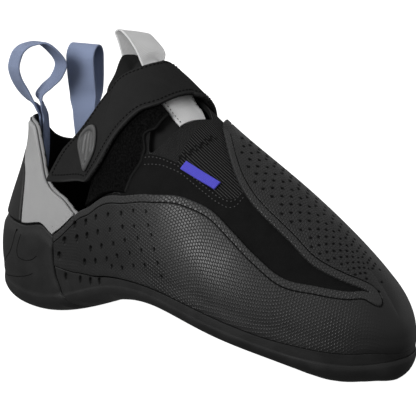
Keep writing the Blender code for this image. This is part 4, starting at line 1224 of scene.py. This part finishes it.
def make_tongue():
    """Tongue under the strap and under the front of the throat, with round edges."""
    reach = np.concatenate([-1 + EDGE_STEPS * 0.12, np.linspace(-0.82, 0, 10),
                            np.linspace(0.02, 0.96, 60), 1 - EDGE_STEPS[::-1] * 0.02])[:, None]
    width = edged(81, 0.07, 0.04, -1)
    hoops = width * TONGUE_FREE[-1][0]
    end_in = np.minimum((1 + reach) * TONGUE_TOP, (1 - reach) * TONGUE_LONG)
    lip = rounded(np.minimum((1 - np.abs(width)) * TONGUE_WIDE, end_in), 1.0 * MM)
    outer = tongue_points(reach, hoops, TONGUE / 2 * (1 - lip))
    inner = tongue_points(reach, hoops, TONGUE / 2 * (1 + lip))
    add_piece("tongue", faces_of(outer, inner, False), STRAP_SUEDE, ["tongue"])


def tape_end(hoop):
    """Station where the tongue's tape ends at a hoop place, at the edge of the throat."""
    trim = np.where(hoop < 0, TAPE_TRIM[LATERAL], TAPE_TRIM[MEDIAL])
    return TAPE_END - trim * np.abs(hoop)


def make_tongue_tape():
    """Pale tape along the tongue, ending at the edge of the throat."""
    run = edged(60, 0.04, 0.02)[:, None]
    first, last = TAPE_HOOPS
    hoops = np.concatenate([first + EDGE_STEPS * 0.006, np.linspace(-0.19, -0.005, 18), [0.0],
                            np.linspace(0.005, 0.11, 12), last - EDGE_STEPS[::-1] * 0.006])
    stations = TAPE_START + (tape_end(hoops) - TAPE_START) * run
    side_in = np.minimum(hoops - first, last - hoops) * TAPE_WIDE
    lip = rounded(np.minimum(side_in, from_ends(run) * TAPE_LONG), 0.4 * MM)
    lift = tongue_lift(stations, hoops) + TAPE_SEAT
    outer = hoop_skin(stations, hoops, lift + WEBBING * lip)
    inner = hoop_skin(stations, hoops, lift)
    add_piece("tongue_tape", faces_of(outer, inner, False), PALE_TAPE, ["tongue_tape"])


def smooth_route(points, count):
    """Curve through 3D points, by their running length."""
    run = running_length(points, 0)
    return np.stack(follow_columns(run, points.T, np.linspace(0, run[-1], count)), 1)


def band_faces(middle_rows):
    """Both faces of a flat band whose rows of points run along it: each point is moved half the
    thickness to either side along the band's own normal, less at its round edges."""
    normal = unit(np.cross(np.gradient(middle_rows, axis=0), np.gradient(middle_rows, axis=1)))
    width = running_length(middle_rows, 1) * MM
    length = running_length(middle_rows, 0) * MM
    inset = np.minimum(np.minimum(width, width[:, -1:] - width),
                       np.minimum(length, length[-1:] - length))
    half = (WEBBING / 2 * rounded(inset, WEBBING / 2))[..., None]
    return faces_of(middle_rows + normal * half, middle_rows - normal * half, False)


BAND_STEPS = edged(16, 0.14, 0.09, -1)
THREE = np.array([-1, 0, 1])


def add_loop(name, rows, count, finish):
    """A loop of webbing through rows of three points: smooth curves along it, and across it the
    parabola through both edges and the middle."""
    curves = np.stack([smooth_route(rows[:, k], count) for k in range(3)])
    weight = np.stack([BAND_STEPS * (BAND_STEPS - 1) / 2, 1 - BAND_STEPS ** 2,
                       BAND_STEPS * (BAND_STEPS + 1) / 2])
    add_piece(name, band_faces(np.einsum("ks,kpc->psc", weight, curves)), finish, [name])


def collar_leg(place, half, shares, lift):
    """A sewn leg of webbing on the collar's inner face, curved across its width as the collar."""
    side = LATERAL if place < 0 else MEDIAL
    step = 0.1
    along = skin(abs(place) + step, side, 0.9) - skin(abs(place), side, 0.9)
    places = place + THREE * (half / np.linalg.norm(along) * step)
    sides = np.where(places < 0, LATERAL, MEDIAL)
    return skin(np.abs(places), sides, shares[:, None], lift)


def make_heel_loops():
    """Pull loops sewn inside the collar: two legs, and between them the loop, which turns from
    the collar's direction to its own twist."""
    for item in HEEL_LOOPS:
        depth = UPPER_WALL + item.seat
        near = collar_leg(item.place, HEEL_LOOP_HALF, LEG_SHARES, -depth)
        far = collar_leg(item.place, HEEL_LOOP_HALF, LEG_SHARES, -depth - BETWEEN_LEGS)
        top = (near[-1, 1] + far[-1, 1]) / 2
        straight = (near[-1, 2] - near[-1, 0]) / (2 * HEEL_LOOP_HALF)
        twist = np.array(item.twist)
        twist = twist * np.sign(twist @ straight)
        middle = top + np.array(item.route) @ np.array([item.lean, item.rise])
        turned = np.ones((len(middle), 1))
        turned[:2, 0] = turned[:-3:-1, 0] = 0.35, 0.7
        facing = unit(straight * (1 - turned) + twist * turned)
        loop = middle[:, None] + THREE[:, None] * HEEL_LOOP_HALF * facing[:, None]
        add_loop(item.name, np.concatenate([near, loop, far[::-1]]), 160, BLUE_WEBBING)


def make_tongue_loop():
    """Pull loop at the top of the tongue: a sewn leg on the tongue's outer face, and the loop,
    back to the tongue's free edge."""
    stations = TONGUE_LOOP_STATIONS[:, None]
    lift = tongue_lift(stations, TONGUE_LOOP_HOOPS) + TONGUE_LOOP_SEAT + WEBBING / 2
    leg = hoop_skin(stations, TONGUE_LOOP_HOOPS, lift)
    middle = np.array([(x, 0, z) for x, z in TONGUE_LOOP_ROUTE])
    width = THREE[:, None] * TONGUE_LOOP_HALF * np.array(TONGUE_LOOP_SIDE)
    add_loop("tongue_loop", np.concatenate([leg, middle[:, None] + width]), 120, PALE_TAPE)


def make_throat_tag():
    """Small plain woven tag on the stretch panel in front of the throat."""
    run = edged(40, 0.04, 0.02)[:, None]
    rise = edged(12, 0.12, 0.08)
    stations = TAG_CORNER[0] + TAG_RUN[0] * run + TAG_RISE[0] * rise
    shares = TAG_CORNER[1] + TAG_RUN[1] * run + TAG_RISE[1] * rise
    inset = np.minimum(from_ends(run) * TAG_LONG, from_ends(rise) * TAG_HIGH)
    lip = rounded(inset, 0.3 * MM)
    overlay("throat_tag", (stations, LATERAL, shares), GAP,
            np.where(lip > 0, TAG * lip + TAG_STAND, 0), False, TAG_CLOTH, "purple_tag",
            ["throat_tag"])


# Stitches and moulded lines

POLAR = np.linspace(0, np.pi, 5)[:, None]
ROUND = np.linspace(0, 2 * np.pi, 7)
OVAL = np.stack([np.cos(POLAR) + 0 * ROUND, np.sin(POLAR) * np.cos(ROUND),
                 np.sin(POLAR) * np.sin(ROUND)], -1)
LINE_POINTS = 300
TAPE_STITCH_HOOPS = (-0.178, 0.098)
LINE_SUNK = 0.12 * MM


def stitches(line, step, long, thick, slant=0.0):
    """Ovals at equal steps along a line of points and normals. Each lies on the surface along the
    line; a slant turns them to either side in turn."""
    points, normals = line
    run = running_length(points, 0) * MM
    count = int(run[-1] / step)
    at = (np.arange(count) + 0.5) * run[-1] / count
    ahead = np.gradient(points, axis=0)
    centre, normal, ahead = [np.stack([np.interp(at, run, column) for column in values.T], 1)
                             for values in (points, normals, ahead)]
    ahead = unit(ahead)
    side = unit(np.cross(normal, ahead))
    turn = (slant * (1 - 2 * (np.arange(count) % 2)))[:, None]
    along = ahead * np.cos(turn) + side * np.sin(turn)
    normal = np.cross(ahead, side)
    axes = np.stack([along * long, np.cross(normal, along) * thick, normal * thick], 1) / 2
    ovals = centre[:, None, None] + np.einsum("rcd,nde->nrce", OVAL, axes)
    return [Grid(oval, True, np.zeros(oval.shape[:2] + (2,)), {}) for oval in ovals]


def form_line(places, lift, side=LATERAL):
    """Points and normals of a smooth line through (station, share) places, lifted off the form by
    a height or by a rule that gives it for each share."""
    places = np.array(places, float)
    run = running_length(skin(places[:, 0], side, places[:, 1]), 0)
    at = np.linspace(0, run[-1], LINE_POINTS)
    station, share = follow_columns(run, places.T, at)
    points, normals = skin_normal(station, side, share)
    lift = lift(share)[:, None] if callable(lift) else lift
    return points + normals * lift, normals


def cup_face(share):
    """Height of the heel cup's face, less the depth that its moulded lines are sunk."""
    return GAP + sole_depth(share) - LINE_SUNK


def strap_line(rows, columns):
    """Points and normals of a line on the strap's outer face."""
    rows, columns = np.broadcast_arrays(rows, columns)
    points = strap_points(rows, columns, STRAP)
    return points, unit(strap_points(rows, columns, STRAP + MM) - points)


def make_strap_stitches():
    """Dark thread a little inside the strap's edges and across its free end."""
    run = np.linspace(0.3, STRAP_LAST - 0.22, LINE_POINTS)
    wide = np.linspace(0.07, 0.90, LINE_POINTS)
    grids = []
    for line in (strap_line(run, 0.075), strap_line(run, 0.925),
                 strap_line(STRAP_LAST - 0.2, wide)):
        grids += stitches(line, 2.0 * MM, 1.5 * MM, 0.8 * MM)
    add_piece("strap_stitches", grids, DARK_THREAD_AND_LINE_SHADE)


BORDER_STITCH = [(6.16, 0.505), (6.44, 0.55), (6.76, 0.585), (7.22, 0.615), (8.02, 0.62),
                 (8.32, 0.635), (8.46, 0.67), (8.5, 0.73)]
SECOND_STITCH = [(6.28, 0.495), (6.8, 0.562), (7.28, 0.592), (7.96, 0.592), (8.36, 0.605),
                 (8.54, 0.65), (8.58, 0.72)]
ZIGZAG_SLANT = 1.15
ZIGZAG = [(7.0, 0.635), (7.14, 0.71), (7.26, 0.805), (7.32, 0.9)]
CUP_LINES = [[(2.16, 0.29), (1.96, 0.17), (1.5, 0.075), (1.30, 0.03), (1.5, 0.012), (1.86, 0.03),
              (2.22, 0.05), (2.52, 0.07), (2.74, 0.09)],
             [(2.34, 0.27), (2.26, 0.22), (2.22, 0.18), (2.28, 0.15), (2.44, 0.145), (2.7, 0.155),
              (2.9, 0.18)]]


def make_upper_stitches():
    """Two rows of pale dots along the suede border, and a dark zigzag over the knit's hem."""
    grids = []
    for places in (BORDER_STITCH, SECOND_STITCH):
        grids += stitches(form_line(places, 0.9 * MM), 1.9 * MM, 0.85 * MM, 0.5 * MM)
    add_piece("border_stitches", grids, PALE_THREAD)
    zigzag = stitches(form_line(ZIGZAG, 0.15 * MM), 1.5 * MM, 4.2 * MM, 0.5 * MM, ZIGZAG_SLANT)
    add_piece("hem_zigzag", zigzag, DARK_THREAD_AND_LINE_SHADE)


def make_tape_stitches():
    """Dots along both sides of the tongue's tape."""
    grids = []
    for hoop in TAPE_STITCH_HOOPS:
        station = np.linspace(TAPE_START + 0.1, tape_end(hoop) - 0.03, LINE_POINTS)
        lift = tongue_lift(station, hoop) + TAPE_SEAT + WEBBING
        points = hoop_skin(station, hoop, lift)
        normals = unit(hoop_skin(station, hoop, lift + MM) - points)
        grids += stitches((points, normals), 1.9 * MM, 0.9 * MM, 0.45 * MM)
    add_piece("tape_stitches", grids, DARK_THREAD_AND_LINE_SHADE)


def make_cup_lines():
    """Two moulded lines on the side of the heel cup, as chains of sunk dark ovals that paint the
    shade in the lines.
    """
    grids = []
    for places in CUP_LINES:
        grids += stitches(form_line(places, cup_face), 0.6 * MM, 1.3 * MM, 0.6 * MM)
    add_piece("heel_cup_lines", grids, DARK_THREAD_AND_LINE_SHADE)


make_wing()
make_patch()
make_wrap_inner()
make_outsole()
make_heel_cup()
make_heel_strip()
make_upper()
make_suede_quarter()
make_heel_panels()
make_loop_panel()
make_strap()
make_strap_badge()
make_tongue()
make_tongue_tape()
make_tongue_loop()
make_heel_loops()
make_throat_tag()
make_strap_stitches()
make_upper_stitches()
make_tape_stitches()
make_cup_lines()
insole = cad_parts["insole"]
insole.data.materials.clear()
insole.data.materials.append(FELT_BOARD)


# Stage

def pale_floor():
    """Plain white floor that shines of itself, as an overexposed studio floor, and throws no
    light back onto the shoe."""
    f = Finish("pale_floor", Roughness=0.9, Specular_IOR_Level=0.0, Base_Color=(0.5, 0.5, 0.5, 1),
               Emission_Color=(1, 1, 1, 1), Emission_Strength=1.0)
    mesh = bpy.data.meshes.new("floor")
    mesh.from_pydata([(-4, -4, 0), (4, -4, 0), (4, 4, 0), (-4, 4, 0)], [], [(0, 1, 2, 3)])
    mesh.materials.append(f.material)
    floor = bpy.data.objects.new("floor", mesh)
    floor.location.z = -0.0002
    floor.visible_diffuse = floor.visible_glossy = False
    bpy.context.scene.collection.objects.link(floor)


def soft_light(name, place, target, size, power):
    """Square area light aimed at a target."""
    lamp = bpy.data.lights.new(name, "AREA")
    lamp.size, lamp.energy = size, power
    light = bpy.data.objects.new(name, lamp)
    light.location = place
    light.rotation_euler = (Vector(target) - Vector(place)).to_track_quat("-Z", "Y").to_euler()
    bpy.context.scene.collection.objects.link(light)


# Lights as (name, place from the lit middle, size, watts), and the camera
WORLD_RISE = (-0.35, 0.35, 0.12, 0.42)
LIT_MIDDLE = Vector((0.1, 0, 0.05))
LAMPS = [("side_box", (0.085, -1.15, 0.52), 0.55, 10.0), ("heel_box", (-0.9, -0.5, 0.9), 0.8, 3.0)]
AIM = np.array([0.1025, 0.0, 0.045])
VIEW_BACK = np.array([0.683, -0.683, 0.259])
VIEW_RIGHT = np.array([0.707, 0.707, 0.0])
VIEW_UP = np.array([-0.183, 0.183, 0.966])
VIEW_DISTANCE = 1.1
LENS, SENSOR = 206.6, 36
AIM_RIGHT, AIM_UP = 4.6 * MM, 17.5 * MM


def place_camera():
    """Camera at the photo's angle: 45 degrees round, 15 up, 1.1 m off, long lens."""
    camera = bpy.data.cameras.new("camera")
    camera.lens, camera.sensor_width = LENS, SENSOR
    holder = bpy.data.objects.new("camera", camera)
    back = Vector(VIEW_BACK).normalized()
    holder.location = Vector(AIM) + back * VIEW_DISTANCE
    aim = Vector(AIM + VIEW_RIGHT * AIM_RIGHT + VIEW_UP * AIM_UP)
    holder.rotation_euler = (aim - holder.location).to_track_quat("-Z", "Y").to_euler()
    bpy.context.scene.collection.objects.link(holder)
    bpy.context.scene.camera = holder


def light_stage():
    """Pale surroundings, dimmer below the horizon, a soft box to the outer side that draws the
    satin sheen on the wing, and a weak light behind."""
    world = bpy.data.worlds.new("studio")
    world.use_nodes = True
    nodes, links = world.node_tree.nodes, world.node_tree.links
    nodes["Background"].inputs["Color"].default_value = (1, 1, 1, 1)
    place = nodes.new("ShaderNodeTexCoord")
    parts = nodes.new("ShaderNodeSeparateXYZ")
    height = nodes.new("ShaderNodeMapRange")
    height.interpolation_type = "SMOOTHSTEP"
    for key, value in zip(("From Min", "From Max", "To Min", "To Max"), WORLD_RISE):
        height.inputs[key].default_value = value
    links.new(place.outputs["Generated"], parts.inputs[0])
    links.new(parts.outputs["Z"], height.inputs["Value"])
    links.new(height.outputs[0], nodes["Background"].inputs["Strength"])
    bpy.context.scene.world = world
    for name, towards, size, power in LAMPS:
        soft_light(name, LIT_MIDDLE + Vector(towards), LIT_MIDDLE, size, power)
    bpy.context.scene.view_settings.view_transform = "Standard"


pale_floor()
place_camera()
light_stage()
